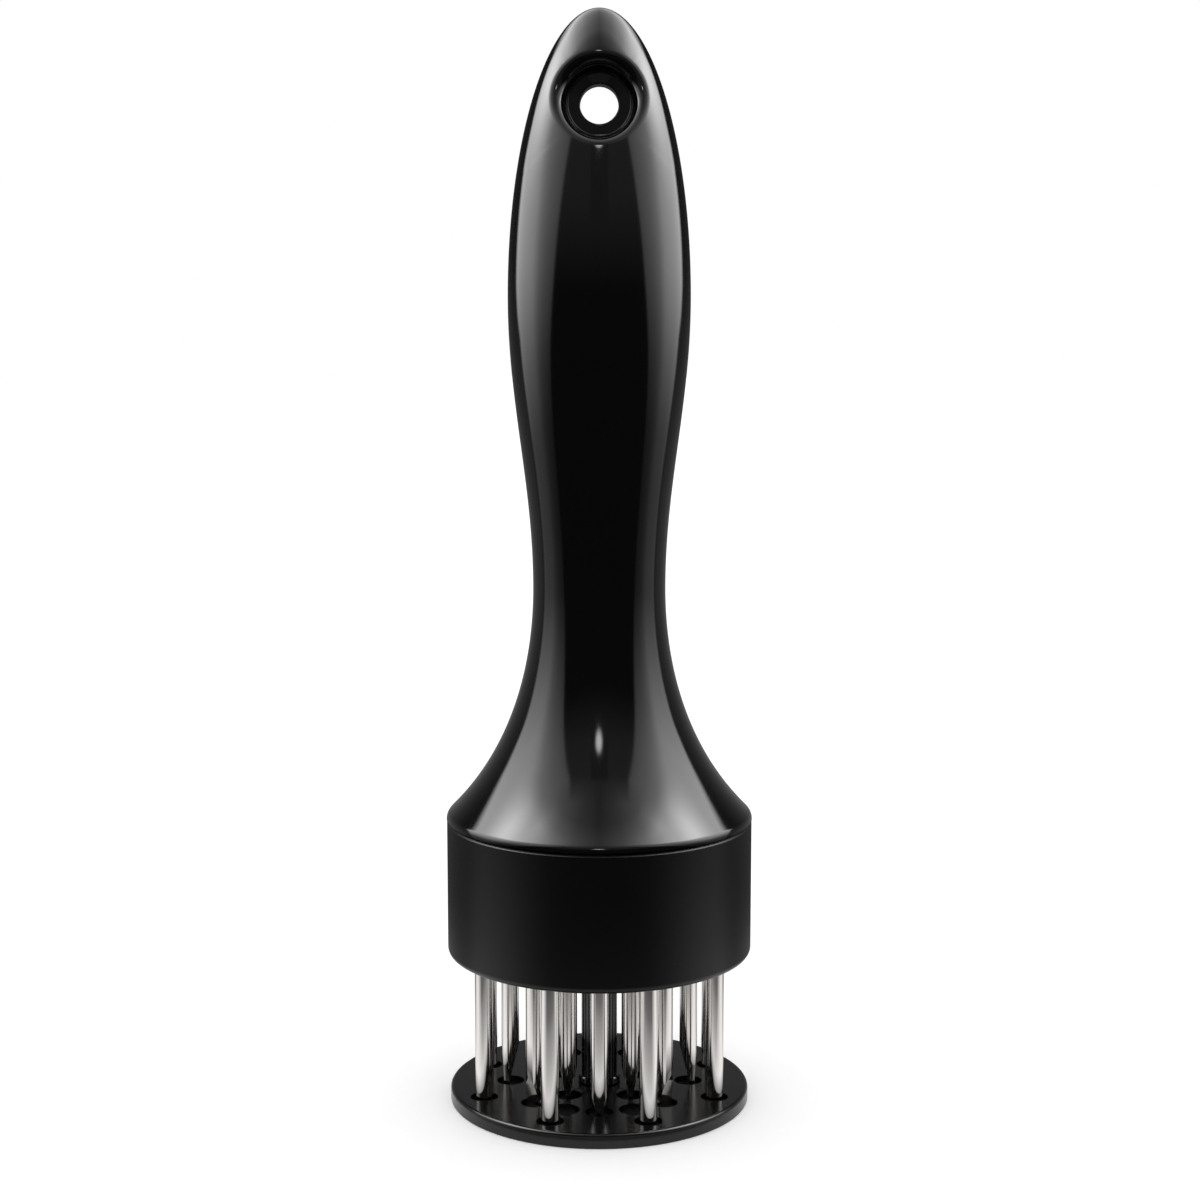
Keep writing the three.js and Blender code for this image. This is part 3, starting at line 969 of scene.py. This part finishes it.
    def build(self) -> bpy.types.Object:
        """Makes the handle.

        Returns:
            The handle, with its bore and the pilot holes of the base screws.
        """
        shape = turned(self.outline(), self.facets)
        rims = {side: self.open_mouth(shape, side) for side in Side}
        self.flatten_grip(shape)
        inner = [edge for side, rim in rims.items() for edge in self.sink_recess(shape, side, rim)]
        bmesh.ops.bridge_loops(shape, edges=inner)
        bmesh.ops.recalc_face_normals(shape, faces=shape.faces)
        start = self.spigot_bottom - OVERRUN
        bore_top = height_range("return_spring")[1] + FIT_GAP
        drills = [bar(self.bore_radius, start, bore_top, self.bore_sides)]
        drills += [bar(self.pilot_radius, start, height_range(screw)[1] + FIT_GAP,
                       self.pilot_sides, place_of(screw)) for screw in nodes_named("base_screw")]
        return finished(drilled(shape, drills), "handle", Slot.GLOSS_BLACK, Body.HANDLE)


@dataclass
class Collar:
    """The matt sleeve under the handle, with the cross wall that the needles push against."""

    lower_round: float = 1.2 * MM
    round_steps: int = 6
    top_chamfer: float = 0.38 * MM
    wall: float = 1.8 * MM
    hole_radius: float = 1.7 * MM
    hole_sides: int = 20
    facets: int = 128

    def build(self) -> bpy.types.Object:
        """Makes the collar.

        Returns:
            The collar.
        """
        bottom, top = height_range("collar")
        radius = outer_radius("collar")
        inside = radius - self.wall
        web_bottom = height_range("backing_plate")[1] + FIT_GAP
        web_top = height_range("handle")[0] - FIT_GAP
        bush_hole = Bush().outer_radius + FIT_GAP
        line = Outline().to((inside, bottom))
        line.round((radius - self.lower_round, bottom + self.lower_round), self.lower_round, -90, 0,
                   self.round_steps)
        line.to((radius, top - self.top_chamfer), (radius - self.top_chamfer, top), (inside, top),
                (inside, web_top), (bush_hole, web_top), (bush_hole, web_bottom), (inside, web_bottom))
        drills = drills_at(nodes_named("base_screw"), self.hole_radius, web_bottom, web_top,
                           self.hole_sides)
        shape = drilled(turned(line, self.facets), drills)
        return finished(shape, "collar", Slot.MATT_BLACK, Body.HANDLE)


@dataclass
class Bush:
    """The flanged plastic bush that guides the post."""

    inner_radius: float = 3.55 * MM
    outer_radius: float = 4.6 * MM
    flange_thickness: float = 1.5 * MM
    edge: float = 0.2 * MM
    facets: int = 48

    def build(self) -> bpy.types.Object:
        """Makes the bush.

        Returns:
            The bush.
        """
        bottom, top = height_range("guide_bush")
        flange = outer_radius("guide_bush")
        under = top - self.flange_thickness
        line = Outline().to(
            (self.inner_radius, bottom + self.edge), (self.inner_radius + self.edge, bottom),
            (self.outer_radius - self.edge, bottom), (self.outer_radius, bottom + self.edge),
            (self.outer_radius, under), (flange, under), (flange, top - self.edge),
            (flange - self.edge, top), (self.inner_radius + self.edge, top),
            (self.inner_radius, top - self.edge))
        return finished(turned(line, self.facets), "guide_bush", Slot.NATURAL_PLASTIC, Body.HANDLE)


@dataclass(frozen=True)
class Grind:
    """How one needle's chisel tip is ground.

    Attributes:
        turn: Which way the first flat faces, in degrees from the front towards +X.
        length: How far up the flats reach.
        first: Distance of the first flat from the needle's middle, at the tip.
        second: The same for the flat opposite, below zero where it passes the middle.
    """

    turn: float
    length: float
    first: float
    second: float


@dataclass
class NeedleBundle:
    """The steel needles, the disc that holds them and the plate behind their heads."""

    radius: float = 1.6 * MM
    head_height: float = 1.5 * MM
    head_edge: float = 0.25 * MM
    neck_round: float = 0.3 * MM
    neck_steps: int = 2
    hole_gap: float = 0.3 * MM
    centre_hole: float = 4.9 * MM
    centre_sides: int = 40
    screw_hole: float = 1.7 * MM
    screw_hole_sides: int = 20
    screw_head_hole: float = 2.9 * MM
    screw_seat: float = 3 * MM
    edge: float = 0.25 * MM
    needle_facets: int = 48
    disc_facets: int = 96
    grinds: dict[Ring, tuple[Grind, ...]] = field(default_factory=lambda: {
        Ring.OUTER: (Grind(0, 7 * MM, 1.7 * MM, -0.67 * MM),),
        Ring.MIDDLE: tuple(Grind(turn, length * MM, first * MM, second * MM)
                           for turn, length, first, second in (
                               (90, 4.4, 0.42, 0.42), (45, 5.5, 0.3, 0.3), (90, 7.4, 1.1, -0.3),
                               (135, 5.5, 0.3, 0.3), (90, 4.4, 0.42, 0.42), (225, 5.5, 0.3, 0.3),
                               (270, 7.4, 1.1, -0.3), (315, 5.5, 0.3, 0.3))),
        Ring.INNER: (Grind(90, 6 * MM, 0.3 * MM, 0.3 * MM),)})

    def grind_of(self, name: str) -> Grind:
        """Finds the grind of a needle, from its ring and number.

        Args:
            name: The needle's CAD node.

        Returns:
            Its grind.
        """
        ring, number = name.split("_")[1:]
        grinds = self.grinds[Ring(ring)]
        return grinds[(int(number) - 1) % len(grinds)]

    def needle(self, name: str) -> bpy.types.Object:
        """Makes one needle.

        Args:
            name: Its CAD node.

        Returns:
            The needle, with its head and its ground tip.
        """
        tip, top = height_range(name)
        head = own_radius(name)
        seat = top - self.head_height
        line = Outline().to((0.0, tip), (self.radius, tip), (self.radius, seat - self.neck_round))
        line.round((self.radius + self.neck_round, seat - self.neck_round), self.neck_round, 180, 90,
                   self.neck_steps)
        line.to((head, seat), (head, top - self.head_edge), (head - self.head_edge, top), (0.0, top))
        shape = turned(line, self.needle_facets)
        grind = self.grind_of(name)
        for side, depth in ((1, grind.first), (-1, grind.second)):
            inner = Vector((side * depth, 0.0, tip))
            slope = (Vector((side * self.radius, 0.0, tip + grind.length)) - inner).normalized()
            if depth < self.radius:
                self.grind_flat(shape, inner, Vector((side * slope.z, 0.0, -side * slope.x)))
        turn = Matrix.Rotation(math.radians(grind.turn - 90), 4, AXIS_UP)
        bmesh.ops.transform(shape, matrix=Matrix.Translation(place_of(name)) @ turn, verts=shape.verts)
        return finished(shape, name, Slot.POLISHED_STEEL, Body.HANDLE)

    @staticmethod
    def grind_flat(shape: bmesh.types.BMesh, point: Vector, normal: Vector) -> None:
        """Cuts a flat and closes the shape over it.

        Args:
            shape: The needle.
            point: A point of the flat.
            normal: Which way the flat faces.
        """
        everything = [*shape.verts, *shape.edges, *shape.faces]
        bmesh.ops.bisect_plane(shape, geom=everything, dist=MERGE_GROUND, plane_co=point,
                               plane_no=normal, clear_outer=True)
        open_edges = [edge for edge in shape.edges if edge.is_boundary]
        bmesh.ops.holes_fill(shape, edges=open_edges, sides=0)
        bmesh.ops.recalc_face_normals(shape, faces=shape.faces)

    def holder(self) -> bpy.types.Object:
        """Makes the disc that the needles hang in.

        Returns:
            The disc.
        """
        bottom, top = height_range("needle_holder")
        radius = outer_radius("needle_holder")
        line = Outline().to((0.0, bottom), (radius - self.edge, bottom), (radius, bottom + self.edge),
                            (radius, top - self.edge), (radius - self.edge, top), (0.0, top))
        low, high = bottom - OVERRUN, top + OVERRUN
        seat = top - self.head_height - FIT_GAP
        drills = [bar(self.centre_hole, low, high, self.centre_sides)]
        drills += [stepped_bar(self.radius + self.hole_gap, own_radius(name) + self.hole_gap,
                               low, seat, high, place_of(name)) for name in needle_names()]
        drills += [stepped_bar(self.screw_head_hole, self.screw_hole, low, bottom + self.screw_seat,
                               high, place_of(name)) for name in nodes_named("base_screw")]
        shape = drilled(turned(line, self.disc_facets), drills)
        return finished(shape, "needle_holder", Slot.MATT_BLACK, Body.HANDLE)

    def backing(self) -> bpy.types.Object:
        """Makes the steel plate behind the needle heads.

        Returns:
            The plate.
        """
        bottom, top = height_range("backing_plate")
        radius = outer_radius("backing_plate")
        line = Outline().to((0.0, bottom), (radius, bottom), (radius, top), (0.0, top))
        drills = [bar(self.centre_hole, bottom - OVERRUN, top + OVERRUN, self.centre_sides)]
        drills += drills_at(nodes_named("base_screw"), self.screw_hole, bottom, top,
                            self.screw_hole_sides)
        shape = drilled(turned(line, self.disc_facets), drills)
        return finished(shape, "backing_plate", Slot.PLAIN_STEEL, Body.HANDLE)

    def build(self) -> None:
        """Makes every piece of the bundle."""
        for name in needle_names():
            self.needle(name)
        self.holder()
        self.backing()


@dataclass
class Screws:
    """The screws: four up into the handle, one at each end of the post."""

    shank_radius: float = 1.4 * MM
    tip_share: float = 0.6
    head_height: float = 2.2 * MM
    recess_length: float = 3 * MM
    recess_width: float = 0.8 * MM
    recess_depth: float = 1.2 * MM
    thread_depth: float = 0.18 * MM
    thread_pitch: float = 1.1 * MM
    head_edge: float = 0.35 * MM
    pan_facets: int = 32
    flat_facets: int = 40

    def shank(self, start: float, end: float) -> list[Point]:
        """Lists the points of a grooved shank.

        Args:
            start: Height of its first point.
            end: Height that it goes towards, up or down.

        Returns:
            The points, as (radius, height).
        """
        count = max(1, int(abs(end - start) / self.thread_pitch))
        pitch = (end - start) / count
        points = []
        for turn in range(count):
            foot = start + turn * pitch
            points += [(self.shank_radius, foot), (self.shank_radius - self.thread_depth, foot + pitch / 2)]
        return points

    def pan_screw(self, node: str, body: Body, head_down: bool) -> bpy.types.Object:
        """Makes a screw with a rounded head.

        Args:
            node: The CAD node that it replaces.
            body: The body that it rides on.
            head_down: Whether the head is at the lower end.

        Returns:
            The screw.
        """
        low, high = height_range(node)
        way = 1 if head_down else -1
        face, tip = (low, high) if head_down else (high, low)
        head = own_radius(node)
        seat = face + way * self.head_height
        line = Outline().to((0.0, face), (head - self.head_edge, face), (head, face + way * self.head_edge),
                            (head, seat), (self.shank_radius, seat))
        line.to(*self.shank(seat + way * self.thread_pitch, tip - way * self.thread_pitch))
        line.to((self.shank_radius * self.tip_share, tip), (0.0, tip))
        recess = sorted((face - way * OVERRUN, face + way * self.recess_depth))
        shape = self.recessed(turned(line, self.pan_facets), recess)
        bmesh.ops.translate(shape, verts=shape.verts, vec=place_of(node))
        return finished(shape, node, Slot.PLAIN_STEEL, body)

    def recessed(self, shape: bmesh.types.BMesh, span: Sequence[float]) -> bmesh.types.BMesh:
        """Cuts the cross recess, one bar after the other.

        Args:
            shape: The screw, standing in the middle.
            span: Lowest and highest height of the bars.

        Returns:
            The cut screw.
        """
        for drill in cross(self.recess_length, self.recess_width, *span):
            shape = drilled(shape, [drill])
        return shape

    def flat_screw(self) -> bpy.types.Object:
        """Makes the countersunk screw in the press plate.

        Returns:
            The screw.
        """
        low, high = height_range("plate_screw")
        head = own_radius("plate_screw")
        line = Outline().to((0.0, low), (head, low), (self.shank_radius, low + head - self.shank_radius))
        line.to(*self.shank(low + head, high - self.thread_pitch))
        line.to((self.shank_radius * self.tip_share, high), (0.0, high))
        shape = self.recessed(turned(line, self.flat_facets), (low - OVERRUN, low + self.recess_depth))
        return finished(shape, "plate_screw", Slot.PLAIN_STEEL, Body.PRESS)

    def build(self) -> None:
        """Makes every screw."""
        for node in nodes_named("base_screw"):
            self.pan_screw(node, Body.HANDLE, head_down=True)
        self.pan_screw("post_screw", Body.PRESS, head_down=False)
        self.flat_screw()


@dataclass
class PressUnit:
    """The press plate, its guide post and the washer that stops it."""

    top_round: float = 0.6 * MM
    top_steps: int = 8
    foot_round: float = 0.3 * MM
    foot_steps: int = 5
    needle_hole: float = 2.5 * MM
    access_hole: float = 2.8 * MM
    hole_sides: int = 40
    screw_hole: float = 1.7 * MM
    countersink: float = 3.4 * MM
    rim_ease: float = 0.22 * MM
    post_radius: float = 3.25 * MM
    foot_height: float = 1.1 * MM
    foot_ease: float = 0.2 * MM
    screw_length: float = 10 * MM
    plate_facets: int = 160
    post_facets: int = 64
    washer_facets: int = 56

    def plate(self) -> bpy.types.Object:
        """Makes the press plate.

        Returns:
            The plate, with its holes and the countersink under it.
        """
        bottom, top = height_range("press_plate")
        radius = outer_radius("press_plate")
        inset = radius - self.top_round
        line = Outline().to((0.0, bottom))
        line.round((radius - self.foot_round, bottom + self.foot_round), self.foot_round, -90, 0,
                   self.foot_steps)
        line.round((inset, top - self.top_round), self.top_round, 0, 90, self.top_steps).to((0.0, top))
        low, high = bottom - OVERRUN, top + OVERRUN
        sink = Outline().to((0.0, low), (self.countersink + OVERRUN, low),
                            (self.screw_hole, self.countersink - self.screw_hole),
                            (self.screw_hole, high), (0.0, high))
        drills = [turned(sink, self.hole_sides)]
        drills += drills_at(needle_names(), self.needle_hole, bottom, top, self.hole_sides)
        drills += drills_at(nodes_named("base_screw"), self.access_hole, bottom, top, self.hole_sides)
        shape = drilled(turned(line, self.plate_facets), drills)
        ease_rims(shape, self.rim_ease, lambda middle: middle.xy.length < inset - OVERRUN)
        return finished(shape, "press_plate", Slot.GLOSS_BLACK, Body.PRESS, PLATE_FINISH)

    def post(self) -> bpy.types.Object:
        """Makes the guide post.

        Returns:
            The post, with a blind screw hole at each end.
        """
        bottom, top = height_range("guide_post")
        foot = outer_radius("guide_post")
        shoulder = bottom + self.foot_height
        lower, upper = bottom + self.screw_length + FIT_GAP, top - self.screw_length - FIT_GAP
        ease = self.foot_ease
        line = Outline().to(
            (0.0, lower), (self.screw_hole, lower), (self.screw_hole, bottom), (foot, bottom),
            (foot, shoulder - ease), (foot - ease, shoulder), (self.post_radius, shoulder),
            (self.post_radius, top - ease), (self.post_radius - ease, top),
            (self.screw_hole, top), (self.screw_hole, upper), (0.0, upper))
        return finished(turned(line, self.post_facets), "guide_post", Slot.GLOSS_BLACK, Body.PRESS)

    def washer(self) -> bpy.types.Object:
        """Makes the stop washer.

        Returns:
            The washer.
        """
        bottom, top = height_range("stop_washer")
        radius = outer_radius("stop_washer")
        ease = self.foot_ease
        line = Outline().to((self.screw_hole, bottom), (radius, bottom), (radius, top - ease),
                            (radius - ease, top), (self.screw_hole, top))
        return finished(turned(line, self.washer_facets), "stop_washer", Slot.PLAIN_STEEL, Body.PRESS)

    def build(self) -> None:
        """Makes every piece of the unit but its screws."""
        self.plate()
        self.post()
        self.washer()


@dataclass
class ReturnSpring:
    """The wound spring in the handle's bore, which shortens as the press plate comes up."""

    wire_radius: float = 0.6 * MM
    mean_radius: float = 4.9 * MM
    turns: int = 10
    steps_a_turn: int = 28
    wire_sides: int = 12
    travel: float = 24.5 * MM

    def build(self) -> bpy.types.Object:
        """Makes the spring.

        Returns:
            The spring, with a mesh of its own.
        """
        bottom, top = height_range("return_spring")
        rise = top - bottom - 2 * self.wire_radius
        steps = self.turns * self.steps_a_turn
        shape = bmesh.new()
        start = Matrix.Translation((self.mean_radius, 0.0, bottom + self.wire_radius))
        bmesh.ops.create_circle(shape, cap_ends=True, segments=self.wire_sides, radius=self.wire_radius,
                                matrix=start @ Matrix.Rotation(math.pi / 2, 4, "X"))
        bmesh.ops.spin(shape, geom=[*shape.verts, *shape.edges, *shape.faces], cent=(0, 0, 0),
                       axis=AXIS_UP, dvec=(0.0, 0.0, rise / steps), angle=math.tau * self.turns,
                       steps=steps, use_duplicate=False)
        bmesh.ops.recalc_face_normals(shape, faces=shape.faces)
        spring = finished(shape, "return_spring", Slot.PLAIN_STEEL, Body.HANDLE)
        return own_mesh(spring)


@dataclass(frozen=True)
class Tent:
    """A round tent of cards that only gloss and metal see.

    Two bright panels stand at the tool's sides, wider at the top than at the foot, and the
    rest is dark. Azimuths run from the camera's side towards either side, in radians. The
    stops of a level give it for a height, a distance or an azimuth, and 1 is white.
    """

    radius: float = 0.25
    height: float = 0.4
    sides: int = 96
    floor_height: float = 0.5 * MM
    floor_hole: float = 30 * MM
    panel: float = math.radians(85)
    panel_half_width: float = math.radians(16)
    panel_spread: float = math.radians(105)
    spread_height: float = 0.3
    back_width: Stops = (
        (0.05, math.radians(20)), (0.08, math.radians(24)), (0.115, math.radians(27)),
        (0.132, math.radians(33)), (0.15, math.radians(37)), (0.22, math.radians(41)))
    across_panel: Stops = (
        (-1.08, 0.0), (-1.0, 0.2), (-0.65, 0.34), (-0.4, 0.52), (-0.1, 0.92), (0.15, 1.0),
        (0.82, 1.0), (0.97, 0.0))
    up_panel: Stops = (
        (0.0, 0.3), (0.04, 0.35), (0.07, 0.6), (0.1, 1.5), (0.13, 2.6), (0.165, 3.8), (0.21, 4.6),
        (0.3, 4.6), (0.4, 3.0))
    up_front: Stops = ((0.15, 0.02), (0.22, 0.2), (0.3, 0.24), (0.4, 0.3))
    up_back: Stops = ((0.05, 0.22), (0.1, 0.14), (0.16, 0.05), (0.3, 0.03))
    behind: Stops = ((math.radians(100), 0.0), (math.radians(112), 1.0))
    lamp_azimuth: float = math.radians(98)
    lamp_height: float = 0.345
    lamp_size: float = 0.15
    lamp_glow: float = 7.8
    top_blend: Stops = ((0.3, 0.0), (0.4, 1.0))
    over_ceiling: Stops = ((0.0, 0.7), (0.08, 1.35), (0.16, 2.6), (0.22, 4.3), (0.25, 4.8))
    ceiling_front: Stops = ((0.0, 1.7), (0.08, 1.4), (0.12, 0.8), (0.17, 0.45), (0.25, 0.4))
    # Levels of the floor card in front of the tool, by distance from the middle. The dark start right round
    # the press plate is a painted contact shadow.
    front_floor_with_painted_shadow: Stops = (
        (0.0305, 0.1), (0.034, 0.5), (0.041, 0.85), (0.0455, 0.75), (0.052, 0.62), (0.063, 0.46),
        (0.0744, 0.35), (0.0856, 0.19), (0.099, 0.14), (0.125, 0.0))
    # Levels of the floor card beside the tool. Its dark start right round the press plate is a painted
    # contact shadow too.
    side_floor_with_painted_shadow: Stops = (
        (0.03, 0.1), (0.042, 1.15), (0.1, 1.05), (0.14, 0.5), (0.25, 0.35))
    floor_side: Stops = (
        (math.radians(35), 0.0), (math.radians(70), 1.0), (math.radians(92), 1.0),
        (math.radians(106), 0.2))
    window_half_width: float = 0.045
    window_bottom: float = 0.2
    window_top: float = 0.32
    board_distance: float = 0.69
    board_size: float = 0.6
    board_glow: float = 0.14
    light_across: float = -0.006
    light_up: float = 0.525
    light_width: float = 0.06
    light_height: float = 0.075
    light_glow: float = 9.5
    light_edge: Stops = ((0.5, 1.0), (1.1, 0.0))

    def wall(self) -> None:
        """Makes the upright cards as one round wall, whose top runs into the ceiling."""
        shape = bmesh.new()
        bmesh.ops.create_cone(shape, segments=self.sides, radius1=self.radius, radius2=self.radius,
                              depth=self.height, matrix=Matrix.Translation((0, 0, self.height / 2)))
        shader = Shader("tent_wall")
        across, front, up = self.directions(shader)
        azimuth = shader.math("ARCTAN2", across, front)
        rest = shader.node("Mix", Factor=shader.ramp(azimuth, self.behind),
                           A=shader.ramp(up, self.up_front), B=shader.ramp(up, self.up_back))
        bright = shader.math("ADD", self.panel_level(shader, azimuth, up),
                             self.lamp_level(shader, azimuth, up))
        whole = shader.node("Mix", Factor=shader.ramp(up, self.top_blend),
                            A=shader.math("ADD", bright, rest.outputs["Result"]),
                            B=self.overhead(shader))
        self.card(shape, shader, whole.outputs["Result"])
        self.cut_window(shader)

    def panel_level(self, shader: Shader, azimuth: Socket, up: Socket) -> Socket:
        """Gives the level of the bright panels, which reach further to the back than to the front.

        Args:
            shader: The wall's material.
            azimuth: Where a point stands round the tool.
            up: Its height.

        Returns:
            The level.
        """
        half_width = shader.math("MULTIPLY_ADD", shader.math("MINIMUM", up, self.spread_height),
                                 self.panel_spread, self.panel_half_width)
        back_width = shader.math("MAXIMUM", half_width, shader.ramp(up, self.back_width))
        aside = shader.math("SUBTRACT", azimuth, self.panel)
        off_middle = shader.math("MINIMUM", shader.math("DIVIDE", aside, half_width),
                                 shader.math("DIVIDE", aside, back_width))
        return shader.math("MULTIPLY", shader.ramp(off_middle, self.across_panel),
                           shader.ramp(up, self.up_panel))

    def lamp_level(self, shader: Shader, azimuth: Socket, up: Socket) -> Socket:
        """Gives the level of the soft round lamp high on each panel.

        Args:
            shader: The wall's material.
            azimuth: Where a point stands round the tool.
            up: Its height.

        Returns:
            The level.
        """
        sideways = shader.math("MULTIPLY", shader.math("SUBTRACT", azimuth, self.lamp_azimuth),
                               self.radius)
        away = shader.length(sideways, shader.math("SUBTRACT", up, self.lamp_height))
        lamp = shader.node("MapRange", Value=away, From_Min=0.0, From_Max=self.lamp_size,
                           To_Min=self.lamp_glow, To_Max=0.0)
        lamp.interpolation_type = "SMOOTHSTEP"
        return lamp.outputs["Result"]

    def cut_window(self, shader: Shader) -> None:
        """Makes the wall clear where the small light behind it shows.

        Args:
            shader: The wall's material.
        """
        across, front, up = self.directions(shader)
        middle = (self.window_bottom + self.window_top) / 2
        reach = (self.window_top - self.window_bottom) / 2
        clear = shader.math("LESS_THAN", across, self.window_half_width)
        for other in (shader.math("GREATER_THAN", front, 0.0),
                      shader.math("COMPARE", up, middle, reach)):
            clear = shader.math("MULTIPLY", clear, other)
        glow = shader.output.inputs["Surface"].links[0].from_socket
        mixed = shader.node("MixShader", Fac=clear)
        shader.feed(mixed.inputs[1], glow)
        shader.feed(mixed.inputs[2], shader.node("BsdfTransparent").outputs["BSDF"])
        shader.show(mixed.outputs["Shader"])

    def ceiling(self) -> None:
        """Makes the card overhead, brighter towards the sides."""
        shape = bmesh.new()
        bmesh.ops.create_circle(shape, cap_ends=True, segments=self.sides, radius=self.radius,
                                matrix=Matrix.Translation((0, 0, self.height)))
        shader = Shader("tent_ceiling")
        self.card(shape, shader, self.overhead(shader))

    def overhead(self, shader: Shader) -> Socket:
        """Gives the level of the card overhead.

        Args:
            shader: The ceiling's or the wall's material.

        Returns:
            The level.
        """
        across, front, _ = self.directions(shader)
        return shader.math("MULTIPLY", shader.ramp(across, self.over_ceiling),
                           shader.ramp(front, self.ceiling_front))

    def floor(self) -> None:
        """Makes the card on the floor that glossy rays see instead of the real floor, dark in front of the
        tool and grey beside it, with a painted contact shadow in a ring round the press plate.
        """
        shape = bmesh.new()
        bmesh.ops.create_circle(shape, segments=self.sides, radius=self.floor_hole,
                                matrix=Matrix.Translation((0, 0, self.floor_height)))
        rim = bmesh.ops.extrude_edge_only(shape, edges=shape.edges)["geom"]
        grown = self.radius / self.floor_hole
        bmesh.ops.scale(shape, vec=(grown, grown, 1.0),
                        verts=[item for item in rim if isinstance(item, bmesh.types.BMVert)])
        shader = Shader("tent_floor")
        across, front, _ = self.directions(shader)
        away = shader.length(across, front)
        side = shader.ramp(shader.math("ARCTAN2", across, front), self.floor_side)
        # Both distance tables start dark next to the press plate: a painted contact shadow seen in
        # reflections.
        level = shader.node("Mix", Factor=side, A=shader.ramp(away, self.front_floor_with_painted_shadow),
                            B=shader.ramp(away, self.side_floor_with_painted_shadow))
        self.card(shape, shader, level.outputs["Result"])

    @staticmethod
    def directions(shader: Shader) -> tuple[Socket, ...]:
        """Gives how far to either side, to the front and up a point is."""
        across, depth, up = shader.node("SeparateXYZ", Vector=shader.place()).outputs
        return shader.math("ABSOLUTE", across), shader.math("MULTIPLY", depth, -1.0), up

    @staticmethod
    def card(shape: bmesh.types.BMesh, shader: Shader, level: Socket) -> None:
        """Makes a card that only glossy rays see.

        Args:
            shape: Its mesh.
            shader: Its material, which also names it.
            level: How bright it is, where 1 is white.
        """
        light = shader.node("Emission", Strength=level)
        card = mesh_object(shape, shader.name)
        card.data.materials.append(shader.show(light.outputs["Emission"]))
        card.visible_camera = False
        card.visible_diffuse = False
        card.visible_transmission = False
        card.visible_volume_scatter = False
        card.visible_shadow = False

    def small_light(self) -> None:
        """Makes the small soft light above the camera, on a dark board."""
        shape = bmesh.new()
        bmesh.ops.create_grid(shape, size=self.board_size / 2)
        bmesh.ops.rotate(shape, matrix=Matrix.Rotation(math.pi / 2, 3, "X"), verts=shape.verts)
        bmesh.ops.translate(shape, vec=(0.0, -self.board_distance, self.light_up), verts=shape.verts)
        shader = Shader("tent_light")
        across, _, up = shader.node("SeparateXYZ", Vector=shader.place()).outputs
        aside = shader.math("DIVIDE", shader.math("SUBTRACT", across, self.light_across),
                            self.light_width)
        above = shader.math("DIVIDE", shader.math("SUBTRACT", up, self.light_up), self.light_height)
        spot = shader.ramp(shader.length(aside, above), self.light_edge)
        self.card(shape, shader, shader.math("MULTIPLY_ADD", spot, self.light_glow, self.board_glow))

    def build(self) -> None:
        """Makes every card."""
        self.wall()
        self.ceiling()
        self.floor()
        self.small_light()


@dataclass
class Studio:
    """The pale floor, the even light, the tent that shapes the gloss, and the camera."""

    floor_radius: float = 3.0
    floor_sides: int = 96
    floor_color: Color = (0.997, 0.997, 0.997)
    speckle_size: float = 0.4
    speckle_swing: float = 0.002
    floor_lift: float = 0.18
    camera_distance: float = 407 * MM
    camera_height: float = 149.5 * MM
    camera_pitch: float = math.radians(8.06)
    focal_share: float = 2303 / 1200  # of the picture's width
    shift: float = 0.7 / 1200
    sensor: float = 36.0
    clip_start: float = 10 * MM

    def world(self) -> None:
        """Sets an even white light from all round."""
        world = bpy.data.worlds.new("studio_light")
        world.use_nodes = True
        background = world.node_tree.nodes["Background"]
        background.inputs["Color"].default_value = (1.0, 1.0, 1.0, 1.0)
        background.inputs["Strength"].default_value = 1.0
        world.cycles.sampling_method = "NONE"
        bpy.context.scene.world = world

    def floor(self) -> None:
        """Makes a round pale floor, lifted to white for the camera but for the deep shadow."""
        shape = bmesh.new()
        bmesh.ops.create_circle(shape, cap_ends=True, segments=self.floor_sides,
                                radius=self.floor_radius)
        made = mesh_object(shape, "studio_floor")
        shader = Shader("studio_floor")
        patches = shader.noise(self.speckle_size, PATCH_DETAIL)
        paint = shader.node("BsdfDiffuse",
                            Color=shader.tint(patches, self.floor_color, self.speckle_swing))
        seen = shader.node("LightPath").outputs["Is Camera Ray"]
        lift = shader.node("Emission", Strength=shader.math("MULTIPLY", seen, self.floor_lift))
        both = shader.node("AddShader")
        shader.feed(both.inputs[0], paint.outputs["BSDF"])
        shader.feed(both.inputs[1], lift.outputs["Emission"])
        made.data.materials.append(shader.show(both.outputs["Shader"]))

    def camera(self) -> None:
        """Sets the camera up at the photograph's angle."""
        lens = bpy.data.cameras.new("studio_camera")
        lens.sensor_width = self.sensor
        lens.lens = self.focal_share * self.sensor
        lens.shift_x = self.shift
        lens.clip_start = self.clip_start
        camera = bpy.data.objects.new("studio_camera", lens)
        camera.location = (0.0, -self.camera_distance, self.camera_height)
        camera.rotation_euler = (math.pi / 2 - self.camera_pitch, 0.0, 0.0)
        bpy.context.scene.collection.objects.link(camera)
        bpy.context.scene.camera = camera

    def build(self) -> None:
        """Sets the whole studio up."""
        bpy.context.scene.view_settings.view_transform = "Standard"
        self.camera()
        self.world()
        self.floor()
        Tent().build()


def main() -> None:
    """Builds the studio and the tool."""
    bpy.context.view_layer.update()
    Studio().build()
    Handle().build()
    Collar().build()
    Bush().build()
    NeedleBundle().build()
    Screws().build()
    PressUnit().build()
    ReturnSpring().build()


if __name__ == "__main__":
    logging.basicConfig(level=logging.INFO, format="%(name)s %(message)s")
    main()
